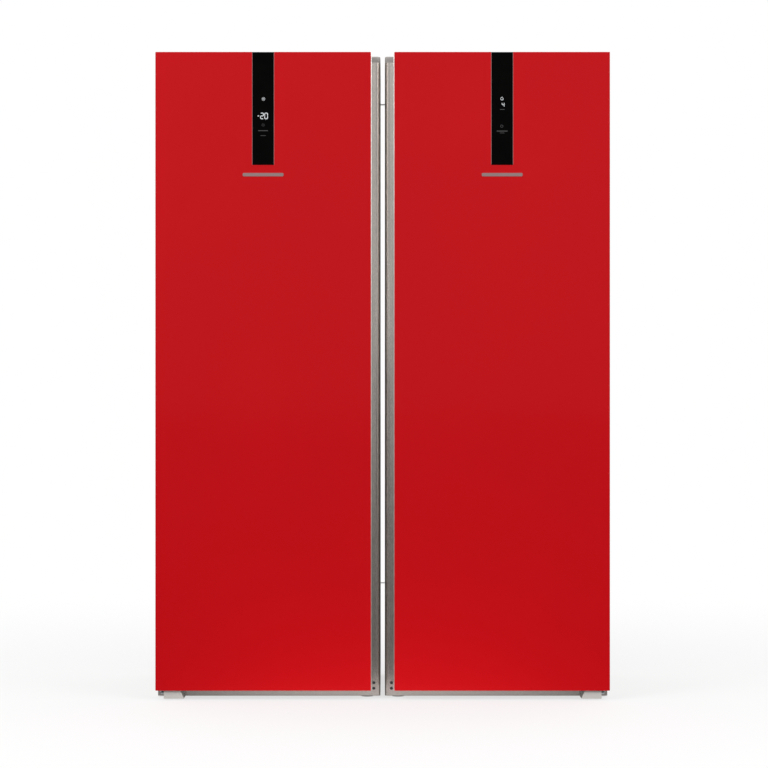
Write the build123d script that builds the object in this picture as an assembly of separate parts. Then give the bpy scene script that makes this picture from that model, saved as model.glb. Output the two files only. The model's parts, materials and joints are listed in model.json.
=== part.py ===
"""Twin column set: a tall freezer and a tall refrigerator stand side by side as one appliance.

Every unit is drawn once in its own frame, centred on X, with its hinge side at +X.  The
refrigerator is that unit moved to +X.  The freezer is the same unit mirrored to -X.
Millimetres, +Z up, the doors face -Y, and the floor is Z = 0.
"""
import os

from build123d import *

# ---- driving dimensions ----
UNIT_WIDTH = 595.0
UNIT_GAP = 12.0
TOTAL_HEIGHT = 1714.0
TOTAL_DEPTH = 650.0
DOOR_DEPTH = 63.0
DOOR_GAP = 12.0
DOOR_BOTTOM = 25.0
GLASS_THICK = 4.0
GRIP_SIDE_REVEAL = 25.0
CONDENSER_SPACE = 22.0
SHEET = 1.2
LINER = 2.0
PANEL_SHEET = 1.0
FLANGE = 45.0
CABINET_BOTTOM = 3.0
CABINET_CORNER = 10.0
CABINET_TOP = 1695.0
TOP_COVER_TOP = 1711.0
TOP_COVER_WALL = 2.5
TOP_COVER_EDGE = 3.0
FOAM_BOTTOM = 32.0
MACHINE_ROOM_TOP = 230.0
MACHINE_ROOM_DEPTH = 230.0
HINGE_INSET = 24.0
HINGE_FORWARD = 44.0
HINGE_PIN_R = 4.0
HINGE_PLATE = 3.0
HINGE_NOTCH_LEFT = 220.0
HINGE_NOTCH_REAR = -168.0
SPARE_HOLE_LEVELS = (23.0, 38.0)
SPARE_HOLE_INSET = 17.5
SPARE_HOLE_R = 3.0
RUNNING_CLEARANCE = 0.05

# ---- planes worked out from them ----
HALF = UNIT_WIDTH / 2
UNIT_X = HALF + UNIT_GAP / 2
FRONT = -TOTAL_DEPTH / 2
REAR = TOTAL_DEPTH / 2
GLASS_BACK = FRONT + GLASS_THICK
DOOR_BACK = FRONT + DOOR_DEPTH
CABINET_FRONT = DOOR_BACK + DOOR_GAP
CABINET_REAR = REAR - CONDENSER_SPACE
FOAM_FRONT = CABINET_FRONT + SHEET
FOAM_REAR = CABINET_REAR - PANEL_SHEET
FOAM_TOP = CABINET_TOP - SHEET
INNER_HALF = HALF - SHEET
MACHINE_ROOM_FRONT = CABINET_REAR - MACHINE_ROOM_DEPTH
HINGE_X = HALF - HINGE_INSET
HINGE_Y = CABINET_FRONT - HINGE_FORWARD

# ---- door outline in the unit's frame ----
GLASS_LEFT = -HALF + GRIP_SIDE_REVEAL
GLASS_RIGHT = HALF
GLASS_MID = (GLASS_LEFT + GLASS_RIGHT) / 2
FRAME_LEFT = GLASS_LEFT + 1
FRAME_RIGHT = GLASS_RIGHT - 1
FRAME_BOTTOM = DOOR_BOTTOM + 1
FRAME_TOP = TOTAL_HEIGHT - 1
FRAME_WALL = 3.0
DISPLAY_WIDTH = 58.0
DISPLAY_HEIGHT = 299.0
DISPLAY_GAP = 0.3
BADGE_WIDTH = 108.0
BADGE_HEIGHT = 9.0
BADGE_TOP = TOTAL_HEIGHT - 320.0
BADGE_PROUD = 0.8
GRIP_FRONT = -306.0
GRIP_BACK = -276.0
GRIP_DEEP = 18.0
GRIP_SHEET = 1.5
GRIP_LIP = 3.0
POCKET_LEFT = HALF - 58
POCKET_FRONT = GLASS_BACK + 2.5
POCKET_BOTTOM = CABINET_TOP - 4
BLOCK_HEIGHT = 20.0
BLOCK_RIB = 3.0

# ---- gasket and door liner ----
GASKET_WIDTH = 12.0
GASKET_THICK = DOOR_GAP - 0.4
GASKET_RIGHT = HINGE_X
GASKET_LEFT = -HALF + 31.5
GASKET_BOTTOM = 56.0
GASKET_TOP = 1670.0
PLUG_HALF = HALF - 84
PLUG_BOTTOM = 118.0
PLUG_TOP = 1612.0
DYKE_WIDTH = 12.0
DYKE_BACK = CABINET_FRONT + 50

# ---- compartments ----
FREEZER_WALL = 62.0
FREEZER_BACK_WALL = 66.0
FREEZER_STEP_WALL = 50.0
FREEZER_FLOOR_WALL = 66.0
FREEZER_TOP_WALL = 64.0
FRIDGE_WALL = 45.0
FRIDGE_BACK_WALL = 50.0
FRIDGE_STEP_WALL = 42.0
FRIDGE_FLOOR_WALL = 56.0
FRIDGE_TOP_WALL = 50.0
RAIL_BOTTOM_TOP = 80.0
RAIL_TOP_BOTTOM = 1650.0

# ---- drawers, shelves and bins ----
DRAWER_HALF = HALF - 70
DRAWER_WALL = 3.0
DRAWER_LIP = 15.0
FREEZER_DRAWER_FRONT = CABINET_FRONT + 40
FREEZER_DUCT_FRONT = 190.0
FREEZER_DRAWER_REAR = 182.0
FREEZER_LOW_DRAWER_REAR = 14.0
FREEZER_SHELF_THICK = 4.0
FREEZER_SHELF_BOTTOM = 292.0
FREEZER_ZONES = 5
FREEZER_ZONE_TOP = 1626.0
FREEZER_DRAWER_SPARE = 22.0
FREEZER_LOW_DRAWER = (103.0, 274.0)
FREEZER_DUCT_HALF = 214.0
FREEZER_DUCT_RISE = 60.0
FREEZER_OUTLET_DROP = 40.0
FREEZER_COIL_BOTTOM = 330.0
CRISPER_FRONT = CABINET_FRONT + 110
CRISPER_LOW = (94.0, 262.0)
CRISPER_HIGH = (286.0, 430.0)
CRISPER_LOW_REAR = 20.0
CRISPER_HIGH_REAR = 202.0
FRIDGE_DUCT_FRONT = 214.0
FRIDGE_DUCT_HALF = 190.0
FRIDGE_DUCT_BOTTOM = 450.0
FRIDGE_OUTLET_RISE = 190.0
FRIDGE_COIL_BOTTOM = 500.0
FRIDGE_SHELF_FRONT = CABINET_FRONT + 105
FRIDGE_SHELF_REAR = 208.0
FRIDGE_SHELF_HALF = HALF - 50
FRIDGE_SHELF_FIRST = 440.0
FRIDGE_SHELF_PITCH = 240.0
FRIDGE_SHELF_COUNT = 5
FRIDGE_SHELF_THICK = 4.0
TRIM_DEPTH = 16.0
TRIM_HEIGHT = 14.0
TRIM_OVERLAP = 4.0
TRIM_DROP = 5.0
BIN_HALF = PLUG_HALF - DYKE_WIDTH - 0.5
BIN_BACK = DOOR_BACK + 4
BIN_FRONT = CABINET_FRONT + 98
BIN_WALL = 4.0
BIN_LEVELS = ((132.0, 150.0), (430.0, 110.0), (725.0, 110.0), (1020.0, 90.0), (1310.0, 90.0))
LUG_FRONT = -236.0
LUG_BACK = -216.0
LUG_RISE = 44.0
LUG_HEIGHT = 16.0
LUG_PROUD = 2.2

# ---- machinery ----
FREEZER_FAN_Z = 1500.0
FRIDGE_FAN_Z = 1540.0
FAN_HUB_R = 16.0
FAN_TIP_R = 46.0
FAN_THICK = 12.0
FAN_BLADES = 7
FAN_SHAFT_R = 1.5
MOTOR_R = 17.0
COMPRESSOR_X = 40.0
COMPRESSOR_Y = 188.0
COMPRESSOR_R = 62.0
GROMMET_R = 11.0
GROMMET_HEIGHT = 12.0
STUB_Z = 101.0
STUB_SPREAD = 26.0
MACHINE_FLOOR = 31.0
INLET_LEFT = -262.0
INLET_RIGHT = -212.0
INLET_BOTTOM = 48.0
INLET_TOP = 78.0
COMPRESSOR_PLATE_TOP = MACHINE_FLOOR + GROMMET_HEIGHT + 3
CONDENSER_RUNS = 20
CONDENSER_PITCH = 64.0
CONDENSER_HALF = 200.0
CONDENSER_BOTTOM = 330.0
CONDENSER_TUBE_R = 3.0
CONDENSER_Y = 318.0

# ---- things on the floor ----
FOOT_X = 262.0
FOOT_Y = -226.0
FOOT_PAD_R = 17.0
FOOT_PAD_HEIGHT = 6.5
FOOT_STUD_R = 5.0
ROLLER_R = 15.0
ROLLER_X = 258.0
ROLLER_WIDTH = 24.0
ROLLER_Y = 256.0
AXLE_R = 4.0
AXLE_HALF = 286.0
RAIL_REAR = 298.0

# ---- brackets that join the two cabinets ----
BRACKET_LEVELS = (262.0, 1640.0)
BRACKET_REACH = 46.0
BRACKET_TAB_START = 14.0
BRACKET_DEPTH = 12.0
BRACKET_HEIGHT = 30.0
BRACKET_SHEET = 2.0


def block(x0, x1, y0, y1, z0, z1):
    """A box between two corners."""
    middle = Pos((x0 + x1) / 2, (y0 + y1) / 2, (z0 + z1) / 2)
    return middle * Box(abs(x1 - x0), abs(y1 - y0), abs(z1 - z0))


def round_edges(solid, axis, radius, wanted):
    """The solid with the edges along an axis that the test picks rounded."""
    edges = [e for e in solid.edges().filter_by(axis) if wanted(e.center())]
    return fillet(edges, radius)


def rod(x, y, z, radius, length, direction="Z"):
    """A round bar that starts at a point and runs along one axis."""
    turns = {"X": (0, 90, 0), "Y": (-90, 0, 0), "Z": (0, 0, 0)}
    bar = Cylinder(radius, length, align=(Align.CENTER, Align.CENTER, Align.MIN))
    return Pos(x, y, z) * Rot(*turns[direction]) * bar


def ring(x0, x1, y0, y1, z0, z1, width):
    """A picture-frame ring that lies in the XZ plane."""
    hole = block(x0 + width, x1 - width, y0 - 1, y1 + 1, z0 + width, z1 - width)
    return block(x0, x1, y0, y1, z0, z1) - hole


# ---- cabinet ----
def side_panel(side):
    """One steel side with its folded front flange and its rolled front corner."""
    outer = block(HALF - FLANGE, HALF, CABINET_FRONT, CABINET_REAR, CABINET_BOTTOM, CABINET_TOP)
    outer = round_edges(
        outer, Axis.Z, CABINET_CORNER, lambda c: c.X > HALF - 1 and c.Y < CABINET_FRONT + 1
    )
    inner = block(0, INNER_HALF, FOAM_FRONT, REAR, 0, TOTAL_HEIGHT)
    inner = round_edges(
        inner, Axis.Z, CABINET_CORNER - SHEET, lambda c: c.X > INNER_HALF - 1 and c.Y < FOAM_FRONT + 1
    )
    panel = outer - inner
    if side > 0:
        return panel
    panel = mirror(panel, about=Plane.YZ)
    for z in SPARE_HOLE_LEVELS:
        panel -= rod(-HALF + SPARE_HOLE_INSET, CABINET_FRONT - 2, z, SPARE_HOLE_R, 8, "Y")
    return panel


def cabinet_panels():
    """Both sides and the top sheet."""
    top = block(-INNER_HALF, INNER_HALF, FOAM_FRONT, CABINET_REAR, FOAM_TOP, CABINET_TOP)
    top = round_edges(top, Axis.Z, CABINET_CORNER - SHEET, lambda c: c.Y < FOAM_FRONT + 1)
    return [side_panel(1), side_panel(-1), top]


def front_rails():
    """Steel rails that close the front above and below the compartment."""
    reach = HALF - FLANGE
    low = block(-reach, reach, CABINET_FRONT, FOAM_FRONT, CABINET_BOTTOM, RAIL_BOTTOM_TOP)
    high = block(-reach, reach, CABINET_FRONT, FOAM_FRONT, RAIL_TOP_BOTTOM, CABINET_TOP)
    return [low, high]


def hinge_notch(grow):
    """The corner of the top cover that the upper hinge needs."""
    left_side = HINGE_NOTCH_LEFT - grow
    rear = HINGE_NOTCH_REAR + grow
    return block(left_side, HALF + 5, CABINET_FRONT - 5, rear, CABINET_TOP - 1, TOTAL_HEIGHT)


def top_cover():
    """Moulded lid over the top sheet, hollow below, with the hinge corner left out."""
    wall = TOP_COVER_WALL
    outer = block(-HALF, HALF, CABINET_FRONT, CABINET_REAR, CABINET_TOP, TOP_COVER_TOP)
    outer = round_edges(outer, Axis.Z, CABINET_CORNER, lambda c: c.Y < CABINET_FRONT + 1)
    outer = fillet(outer.edges().group_by(Axis.Z)[-1], TOP_COVER_EDGE)
    outer -= hinge_notch(0)
    cavity = block(
        -HALF + wall, HALF - wall, CABINET_FRONT + wall, CABINET_REAR - wall,
        CABINET_TOP - 1, TOP_COVER_TOP - wall,
    )
    inner_corner = CABINET_CORNER - wall
    cavity = round_edges(cavity, Axis.Z, inner_corner, lambda c: c.Y < CABINET_FRONT + wall + 1)
    cavity -= hinge_notch(wall)
    return [outer - cavity]


def back_panel():
    """Flat rear sheet above the machine room."""
    return [block(-INNER_HALF, INNER_HALF, FOAM_REAR, CABINET_REAR, MACHINE_ROOM_TOP, FOAM_TOP)]


def machine_room_cover():
    """Vented rear plate of the machine room, with an opening for the mains inlet."""
    half = HALF - 3.5
    bottom = 34.0
    vent_width = 12.0
    vent_height = 58.0
    vent_pitch = 26.0
    row_pitch = 75.0
    first_x = -110.0
    first_z = 70.0
    front = CABINET_REAR - 3
    rear = CABINET_REAR + 2
    plate = block(-half, half, FOAM_REAR, CABINET_REAR, bottom, MACHINE_ROOM_TOP - 1)
    for row in range(2):
        for column in range(14):
            x = first_x + column * vent_pitch
            z = first_z + row * row_pitch
            plate -= block(x, x + vent_width, front, rear, z, z + vent_height)
    plate -= block(INLET_LEFT, INLET_RIGHT, front, rear, INLET_BOTTOM, INLET_TOP)
    return [plate]


def base_frame():
    """Folded steel base: front channel with foot bosses, side rails, roller cheeks, pans."""
    channel_back = -200.0
    channel_bottom = 10.0
    wall = 2.0
    reach = INNER_HALF - 5
    rail_inside = 286.0
    rail_bottom = 21.0
    pan_half = 238.0
    cheek = 3.0
    cheek_depth = 18.0
    frame = block(-reach, reach, FOAM_FRONT, channel_back, channel_bottom, MACHINE_FLOOR)
    frame = round_edges(frame, Axis.Z, 4, lambda c: c.Y < FOAM_FRONT + 1)
    frame -= block(
        -reach + wall, reach - wall, FOAM_FRONT + wall, channel_back - wall,
        channel_bottom - 1, MACHINE_FLOOR - wall,
    )
    for x in (-FOOT_X, FOOT_X):
        frame += rod(x, FOOT_Y, channel_bottom, 2 * FOOT_STUD_R, MACHINE_FLOOR - channel_bottom - 1)
    for side in (-1, 1):
        outside = side * INNER_HALF
        frame += block(side * rail_inside, outside, channel_back, RAIL_REAR, rail_bottom, MACHINE_FLOOR)
        for x in (ROLLER_X - 16 - cheek, ROLLER_X + 16):
            frame += block(
                side * x, side * (x + cheek), ROLLER_Y - cheek_depth, ROLLER_Y + cheek_depth,
                5, MACHINE_FLOOR,
            )
        frame += block(
            side * pan_half, outside, ROLLER_Y + cheek_depth - wall, RAIL_REAR,
            MACHINE_FLOOR - 3, MACHINE_FLOOR,
        )
    frame += block(-INNER_HALF, INNER_HALF, RAIL_REAR - 24, RAIL_REAR, MACHINE_FLOOR - 7, MACHINE_FLOOR)
    frame += block(
        -pan_half, pan_half, MACHINE_ROOM_FRONT, RAIL_REAR - 22, MACHINE_FLOOR - 3, MACHINE_FLOOR
    )
    frame += block(
        -INNER_HALF, INNER_HALF, channel_back, MACHINE_ROOM_FRONT + 1,
        MACHINE_FLOOR - 1, MACHINE_FLOOR,
    )
    for x in (-FOOT_X, FOOT_X):
        frame -= rod(x, FOOT_Y, 0, FOOT_STUD_R + RUNNING_CLEARANCE, 60)
    frame -= rod(-HALF, ROLLER_Y, ROLLER_R, AXLE_R + RUNNING_CLEARANCE, UNIT_WIDTH, "X")
    return frame


def insulation(wall, back, step, floor, top):
    """Rigid foam of one cabinet as the slabs between its sheets and its liner."""
    reach = HALF - wall
    step_front = MACHINE_ROOM_FRONT - step
    floor_top = FOAM_BOTTOM + floor
    ceiling = FOAM_TOP - top
    slabs = []
    for side in (-1, 1):
        near = side * reach
        far = side * INNER_HALF
        slabs.append(block(near, far, FOAM_FRONT, FOAM_REAR, MACHINE_ROOM_TOP, FOAM_TOP))
        slabs.append(
            block(near, far, FOAM_FRONT, MACHINE_ROOM_FRONT, FOAM_BOTTOM, MACHINE_ROOM_TOP)
        )
    slabs.append(block(-reach, reach, FOAM_FRONT, FOAM_REAR, ceiling, FOAM_TOP))
    slabs.append(block(-reach, reach, FOAM_REAR - back, FOAM_REAR, MACHINE_ROOM_TOP, ceiling))
    slabs.append(block(-reach, reach, FOAM_FRONT, MACHINE_ROOM_FRONT, FOAM_BOTTOM, floor_top))
    slabs.append(block(-reach, reach, step_front, MACHINE_ROOM_FRONT, floor_top, MACHINE_ROOM_TOP))
    slabs.append(
        block(-reach, reach, step_front, FOAM_REAR - back, MACHINE_ROOM_TOP, MACHINE_ROOM_TOP + step)
    )
    for index in range(4):
        side = 1 if index > 1 else -1
        corner = [
            e for e in slabs[index].edges().filter_by(Axis.Z)
            if e.center().X * side > INNER_HALF - 1 and e.center().Y < FOAM_FRONT + 1
        ]
        slabs[index] = chamfer(corner, CABINET_CORNER)
    return slabs


def inner_shape(wall, back, step, floor, top, inset, front):
    """The compartment's volume: a box with a raised step over the machine room."""
    reach = HALF - wall - inset
    step_front = MACHINE_ROOM_FRONT - step - inset
    step_top = MACHINE_ROOM_TOP + step + inset
    low = FOAM_BOTTOM + floor + inset
    high = FOAM_TOP - top - inset
    rear = FOAM_REAR - back - inset
    shape = block(-reach, reach, front, rear, low, high)
    return shape - block(-reach - 1, reach + 1, step_front, rear + 1, low - 1, step_top)


def liner(wall, back, step, floor, top, ribs):
    """White moulded inner liner with its front lip and the ribs that carry shelves."""
    sizes = (wall, back, step, floor, top)
    tub = inner_shape(*sizes, 0, FOAM_FRONT)
    reach = HALF - FLANGE
    tub += block(-reach, reach, CABINET_FRONT, FOAM_FRONT, RAIL_BOTTOM_TOP, RAIL_TOP_BOTTOM)
    tub -= inner_shape(*sizes, LINER, CABINET_FRONT - 5)
    inside = HALF - wall - LINER
    rib_proud = 3.0
    rib_height = 6.5
    for z, rib_front, rib_rear in ribs:
        rib_top = z - 0.5
        for side in (-1, 1):
            near = side * (inside - rib_proud)
            far = side * (inside + 1)
            tub += block(near, far, rib_front, rib_rear, rib_top - rib_height, rib_top)
    return tub


# ---- air handling and electrics ----
def duct(half, front, rear, bottom, top, fan_z, outlets):
    """Vented air duct cover on the compartment's rear wall, open behind."""
    wall = 3.0
    corner = 6.0
    slot_width = 40.0
    slot_height = 6.0
    slot_pitch = 52.0
    first_slot = -150.0
    slat_pitch = 10.0
    slat_gap = 5.0
    outside = front - 1
    inside = front + wall + 1
    body = block(-half, half, front, rear, bottom, top)
    body = round_edges(body, Axis.Z, corner, lambda c: c.Y < front + 1)
    body -= block(-half + wall, half - wall, front + wall, rear + 1, bottom + wall, top - wall)
    for z in outlets:
        for column in range(6):
            x = first_slot + column * slot_pitch
            body -= block(x, x + slot_width, outside, inside, z, z + slot_height)
    for row in range(-4, 5):
        reach = (FAN_TIP_R**2 - (row * slat_pitch) ** 2) ** 0.5
        low = fan_z + row * slat_pitch - slat_gap / 2
        body -= block(-reach, reach, outside, inside, low, low + slat_gap)
    return body


def fan(y, z):
    """Moulded axial fan: hub with a shaft bore and pitched blades."""
    blade_thick = 1.8
    blade_chord = 22.0
    blade_pitch = 40.0
    wheel = rod(0, y, z, FAN_HUB_R, FAN_THICK, "Y")
    for index in range(FAN_BLADES):
        blade = Box(FAN_TIP_R - FAN_HUB_R + 6, blade_thick, blade_chord)
        middle = Pos((FAN_TIP_R + FAN_HUB_R) / 2 - 2, 0, 0)
        pitched = middle * Rot(blade_pitch, 0, 0) * blade
        turned = Rot(0, 360 / FAN_BLADES * index, 0) * pitched
        wheel += Pos(0, y + FAN_THICK / 2, z) * turned
    wheel &= rod(0, y - 1, z, FAN_TIP_R, FAN_THICK + 2, "Y")
    return wheel - rod(0, y - 1, z, FAN_SHAFT_R + RUNNING_CLEARANCE, FAN_THICK + 2, "Y")


def fan_motor(y, z, rear):
    """Shaded-pole motor on its plate, with the shaft that carries the fan."""
    start = y + FAN_THICK + 1.5
    plate_half = 34.0
    plate_rise = 12.0
    body = rod(0, start, z, MOTOR_R, rear - start, "Y")
    plate = block(-plate_half, plate_half, rear - 2, rear, z - plate_rise, z + plate_rise)
    shaft = rod(0, y + 1, z, FAN_SHAFT_R, FAN_THICK + 2, "Y")
    return body + plate + shaft


def evaporator(front, rear, bottom):
    """Finned coil: tube runs with return bends through a stack of fins."""
    middle = (front + rear) / 2
    pitch = 32.0
    runs = 6
    half = 150.0
    tube_r = 4.0
    fin = 0.8
    fin_pitch = 15.3
    first_fin = -half + 12
    coil = serpentine(half, runs, pitch, tube_r, middle, bottom + 20)
    for index in range(19):
        x = first_fin + index * fin_pitch
        coil += block(x, x + fin, front, rear, bottom, bottom + pitch * runs + 8)
    return coil


def serpentine(half, runs, pitch, radius, y, first_z):
    """Parallel tube runs joined by half-circle bends at alternate ends."""
    tube = rod(-half, y, first_z, radius, 2 * half, "X")
    for index in range(1, runs):
        z = first_z + index * pitch
        tube += rod(-half, y, z, radius, 2 * half, "X")
        side = 1 if index % 2 else -1
        bend = Rot(90, 0, 0) * Torus(pitch / 2, radius, 0, 360, 180)
        bend = Rot(0, 90 * side, 0) * bend
        tube += Pos(side * half, y, z - pitch / 2) * bend
    return tube


def lamp(ceiling):
    """Shallow LED lamp on the compartment's ceiling."""
    half = 85.0
    front = -110.0
    depth = 44.0
    height = 10.0
    edge = 4.0
    body = block(-half, half, front, front + depth, ceiling - height, ceiling)
    return fillet(body.edges().group_by(Axis.Z)[0], edge)


def compressor():
    """Hermetic compressor: welded can, mounting plate, terminal box and stub tubes."""
    x, y = COMPRESSOR_X, COMPRESSOR_Y
    can_bottom = 50.0
    can_height = 138.0
    can_edge = 34.0
    seam_z = 116.0
    seam_height = 5.0
    plate_half = 92.0
    plate_depth = 52.0
    pedestal_r = 44.0
    pedestal_height = 22.0
    stub_r = 4.0
    stub_length = 42.0
    can = rod(x, y, can_bottom, COMPRESSOR_R, can_height)
    can = fillet(can.edges().filter_by(GeomType.CIRCLE), can_edge)
    seam = rod(x, y, seam_z, COMPRESSOR_R + 3, seam_height)
    plate_z = MACHINE_FLOOR + GROMMET_HEIGHT
    plate = block(
        x - plate_half, x + plate_half, y - plate_depth, y + plate_depth,
        plate_z, COMPRESSOR_PLATE_TOP,
    )
    plate = fillet(plate.edges().filter_by(Axis.Z), 12)
    pedestal = rod(x, y, plate_z + 2, pedestal_r, pedestal_height)
    terminal_box = block(x + 40, x + 90, y - 27, y + 27, 88, 140)
    terminal_box = fillet(terminal_box.edges().filter_by(Axis.X), 6)
    unit = can + seam + plate + pedestal + terminal_box
    for offset in (-STUB_SPREAD, 0, STUB_SPREAD):
        unit += rod(x + offset, y + 40, STUB_Z, stub_r, stub_length, "Y")
    return unit


def grommet_places():
    """Where the compressor's four rubber feet stand."""
    return [(COMPRESSOR_X + x, COMPRESSOR_Y + y) for x in (-80, 80) for y in (-40, 40)]


def grommets():
    """Four rubber feet between the compressor plate and the base."""
    return [rod(x, y, MACHINE_FLOOR, GROMMET_R, GROMMET_HEIGHT) for x, y in grommet_places()]


def grommet_bolts():
    """Hexagon bolts with washers that clamp the compressor plate to its rubber feet."""
    washer_r = 9.0
    washer_thick = 1.4
    head_r = 6.5
    head_height = 5.0
    bolts = []
    for x, y in grommet_places():
        washer = rod(x, y, COMPRESSOR_PLATE_TOP, washer_r, washer_thick)
        head = extrude(RegularPolygon(head_r, 6), head_height)
        bolts.append(washer + Pos(x, y, COMPRESSOR_PLATE_TOP + washer_thick) * head)
    return bolts


def drip_tray():
    """Defrost water tray that sits above the warm compressor."""
    x0, x1 = COMPRESSOR_X - 90, COMPRESSOR_X + 90
    y0, y1 = COMPRESSOR_Y - 62, COMPRESSOR_Y + 62
    bottom, top = 192.0, 222.0
    wall = 2.0
    corner = 14.0
    tray = block(x0, x1, y0, y1, bottom, top)
    tray = fillet(tray.edges().filter_by(Axis.Z), corner)
    hollow = block(x0 + wall, x1 - wall, y0 + wall, y1 - wall, bottom + wall, top + 1)
    return [tray - fillet(hollow.edges().filter_by(Axis.Z), corner - wall)]


def pipe(points, radius, bend):
    """Round tube along straight runs joined by tangent arcs."""
    path = FilletPolyline(*points, radius=bend)
    section = Plane(origin=path @ 0, z_dir=path % 0) * Circle(radius)
    return sweep(section, path=path)


def refrigerant_pipes():
    """Hot gas pipe to the condenser and the liquid line with its filter dryer."""
    x = COMPRESSOR_X + STUB_SPREAD
    y = COMPRESSOR_Y + 82
    rear_y = y + 16
    top = 210.0
    hot_r = 3.0
    hot_bend = 7.0
    hot_points = [(x, y, STUB_Z), (x, rear_y, STUB_Z), (x, rear_y, top), (150, rear_y, top)]
    hot = pipe(hot_points, hot_r, hot_bend)
    dryer_x, dryer_y = -150.0, 150.0
    dryer_r = 10.0
    dryer_length = 90.0
    liquid_r = 2.5
    liquid_bend = 5.0
    dryer = rod(dryer_x, dryer_y, top - dryer_length, dryer_r, dryer_length)
    dryer = fillet(dryer.edges().filter_by(GeomType.CIRCLE), 6)
    liquid_points = [
        (dryer_x, dryer_y, top), (dryer_x, dryer_y, top + 12),
        (dryer_x + 90, dryer_y, top + 12), (dryer_x + 90, dryer_y - 30, top + 12),
    ]
    return [hot, dryer + pipe(liquid_points, liquid_r, liquid_bend)]


def control_box():
    """Moulded box for the main board, on the machine room's floor."""
    outside = -276.0
    front, rear = 110.0, 250.0
    recess = block(outside - 3, outside + 1, front + 15, rear - 15, 60, 130)
    box = block(outside, outside + 96, front, rear, MACHINE_FLOOR, 150)
    return [fillet(box.edges().filter_by(Axis.Z), 6) - recess]


def power_inlet():
    """Appliance inlet with three flat pins in its recess, flush with the rear plate."""
    spare = 0.2
    wall = 6.0
    recess = 14.0
    pin_pitch = 9.0
    middle = (INLET_LEFT + INLET_RIGHT) / 2
    body = block(
        INLET_LEFT, INLET_RIGHT, CABINET_REAR - 26, CABINET_REAR + 3,
        INLET_BOTTOM + spare, INLET_TOP - spare,
    )
    body -= block(
        INLET_LEFT + wall, INLET_RIGHT - wall, CABINET_REAR - recess, CABINET_REAR + 4,
        INLET_BOTTOM + 4, INLET_TOP - 4,
    )
    for x in (middle - pin_pitch, middle, middle + pin_pitch):
        body += block(x - 1, x + 1, CABINET_REAR - recess - 1, CABINET_REAR - recess / 2, 60, 66)
    return [body]


def condenser():
    """Black serpentine condenser behind the cabinet, held off by four spacer clips."""
    clip_x = 150.0
    clip_half = 9.0
    clip_rise = 14.0
    clip_rear = REAR + BADGE_PROUD
    bore = CONDENSER_TUBE_R + RUNNING_CLEARANCE
    coil = serpentine(
        CONDENSER_HALF, CONDENSER_RUNS, CONDENSER_PITCH,
        CONDENSER_TUBE_R, CONDENSER_Y, CONDENSER_BOTTOM,
    )
    pieces = [coil]
    for x in (-clip_x, clip_x):
        for run in (1, CONDENSER_RUNS - 2):
            z = CONDENSER_BOTTOM + run * CONDENSER_PITCH
            clip = block(
                x - clip_half, x + clip_half, CABINET_REAR, clip_rear, z - clip_rise, z + clip_rise
            )
            clip -= rod(x - 10, CONDENSER_Y, z, bore, 20, "X")
            pieces.append(clip)
    return pieces


# ---- hinges ----
def upper_hinge():
    """Plate on the cabinet's top with an arm over the door and a pin that points down."""
    top = CABINET_TOP + HINGE_PLATE
    arm_half = 12.0
    pin_length = 20.0
    plate = block(225, 287, CABINET_FRONT, -182, CABINET_TOP, top)
    arm = block(
        HINGE_X - arm_half, HINGE_X + arm_half, HINGE_Y, CABINET_FRONT + 1, CABINET_TOP, top
    )
    nose = rod(HINGE_X, HINGE_Y, CABINET_TOP, arm_half, HINGE_PLATE)
    pin = rod(HINGE_X, HINGE_Y, CABINET_TOP - pin_length, HINGE_PIN_R, pin_length)
    return [plate + arm + nose + pin]


def lower_hinge():
    """Angle bracket under the door with the pin that carries it."""
    shelf_front = -308.0
    shelf_bottom = 14.0
    shelf_top = 18.0
    corner = 12.0
    pin_length = 25.0
    shelf = block(233.5, 286, shelf_front, CABINET_FRONT, shelf_bottom, shelf_top)
    shelf = round_edges(shelf, Axis.Z, corner, lambda c: c.Y < shelf_front + 8)
    upright = block(226, 290, CABINET_FRONT - HINGE_PLATE, CABINET_FRONT, 10, 48)
    pin = rod(HINGE_X, HINGE_Y, shelf_top - 1, HINGE_PIN_R, pin_length)
    return [shelf + upright + pin]


def hinge_cover():
    """Small lid over the upper hinge, flush with the top cover."""
    wall = 2.0
    left_side = HINGE_NOTCH_LEFT + 0.5
    rear = HINGE_NOTCH_REAR - 0.5
    outer = block(left_side, HALF, CABINET_FRONT, rear, CABINET_TOP, TOP_COVER_TOP)
    outer = round_edges(
        outer, Axis.Z, CABINET_CORNER, lambda c: c.X > HALF - 1 and c.Y < CABINET_FRONT + 1
    )
    outer = fillet(outer.edges().group_by(Axis.Z)[-1], TOP_COVER_EDGE)
    cavity = block(
        left_side + wall, HALF - wall, CABINET_FRONT + wall, rear - wall,
        CABINET_TOP - 1, TOP_COVER_TOP - wall,
    )
    cavity = round_edges(
        cavity, Axis.Z, CABINET_CORNER - wall, lambda c: c.X > HALF - 3 and c.Y < CABINET_FRONT + 3
    )
    slot_top = CABINET_TOP + HINGE_PLATE + 0.3
    slot = block(224, 288, CABINET_FRONT - 1, CABINET_FRONT + 3, CABINET_TOP - 1, slot_top)
    return [outer - cavity - slot]


def hinge_foot_cover():
    """Wedge-ended moulded cap in front of the lower hinge, open below and behind."""
    length = 63.0
    pin_hole_r = 6.5
    outline = Polyline((276, 3), (276, 24), (232, 24), (223, 3), close=True)
    cap = extrude(Plane.XZ * make_face(outline), length)
    cap = Pos(0, CABINET_FRONT - 3, 0) * cap
    inner = Polyline((274, 2), (274, 22), (233.3, 22), (225, 2), close=True)
    cap -= Pos(0, CABINET_FRONT, 0) * extrude(Plane.XZ * make_face(inner), length + 1)
    cap -= rod(HINGE_X, HINGE_Y, 12, pin_hole_r, 20)
    return [cap - block(262, 280, -308.5, CABINET_FRONT, 12, 20)]


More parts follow.
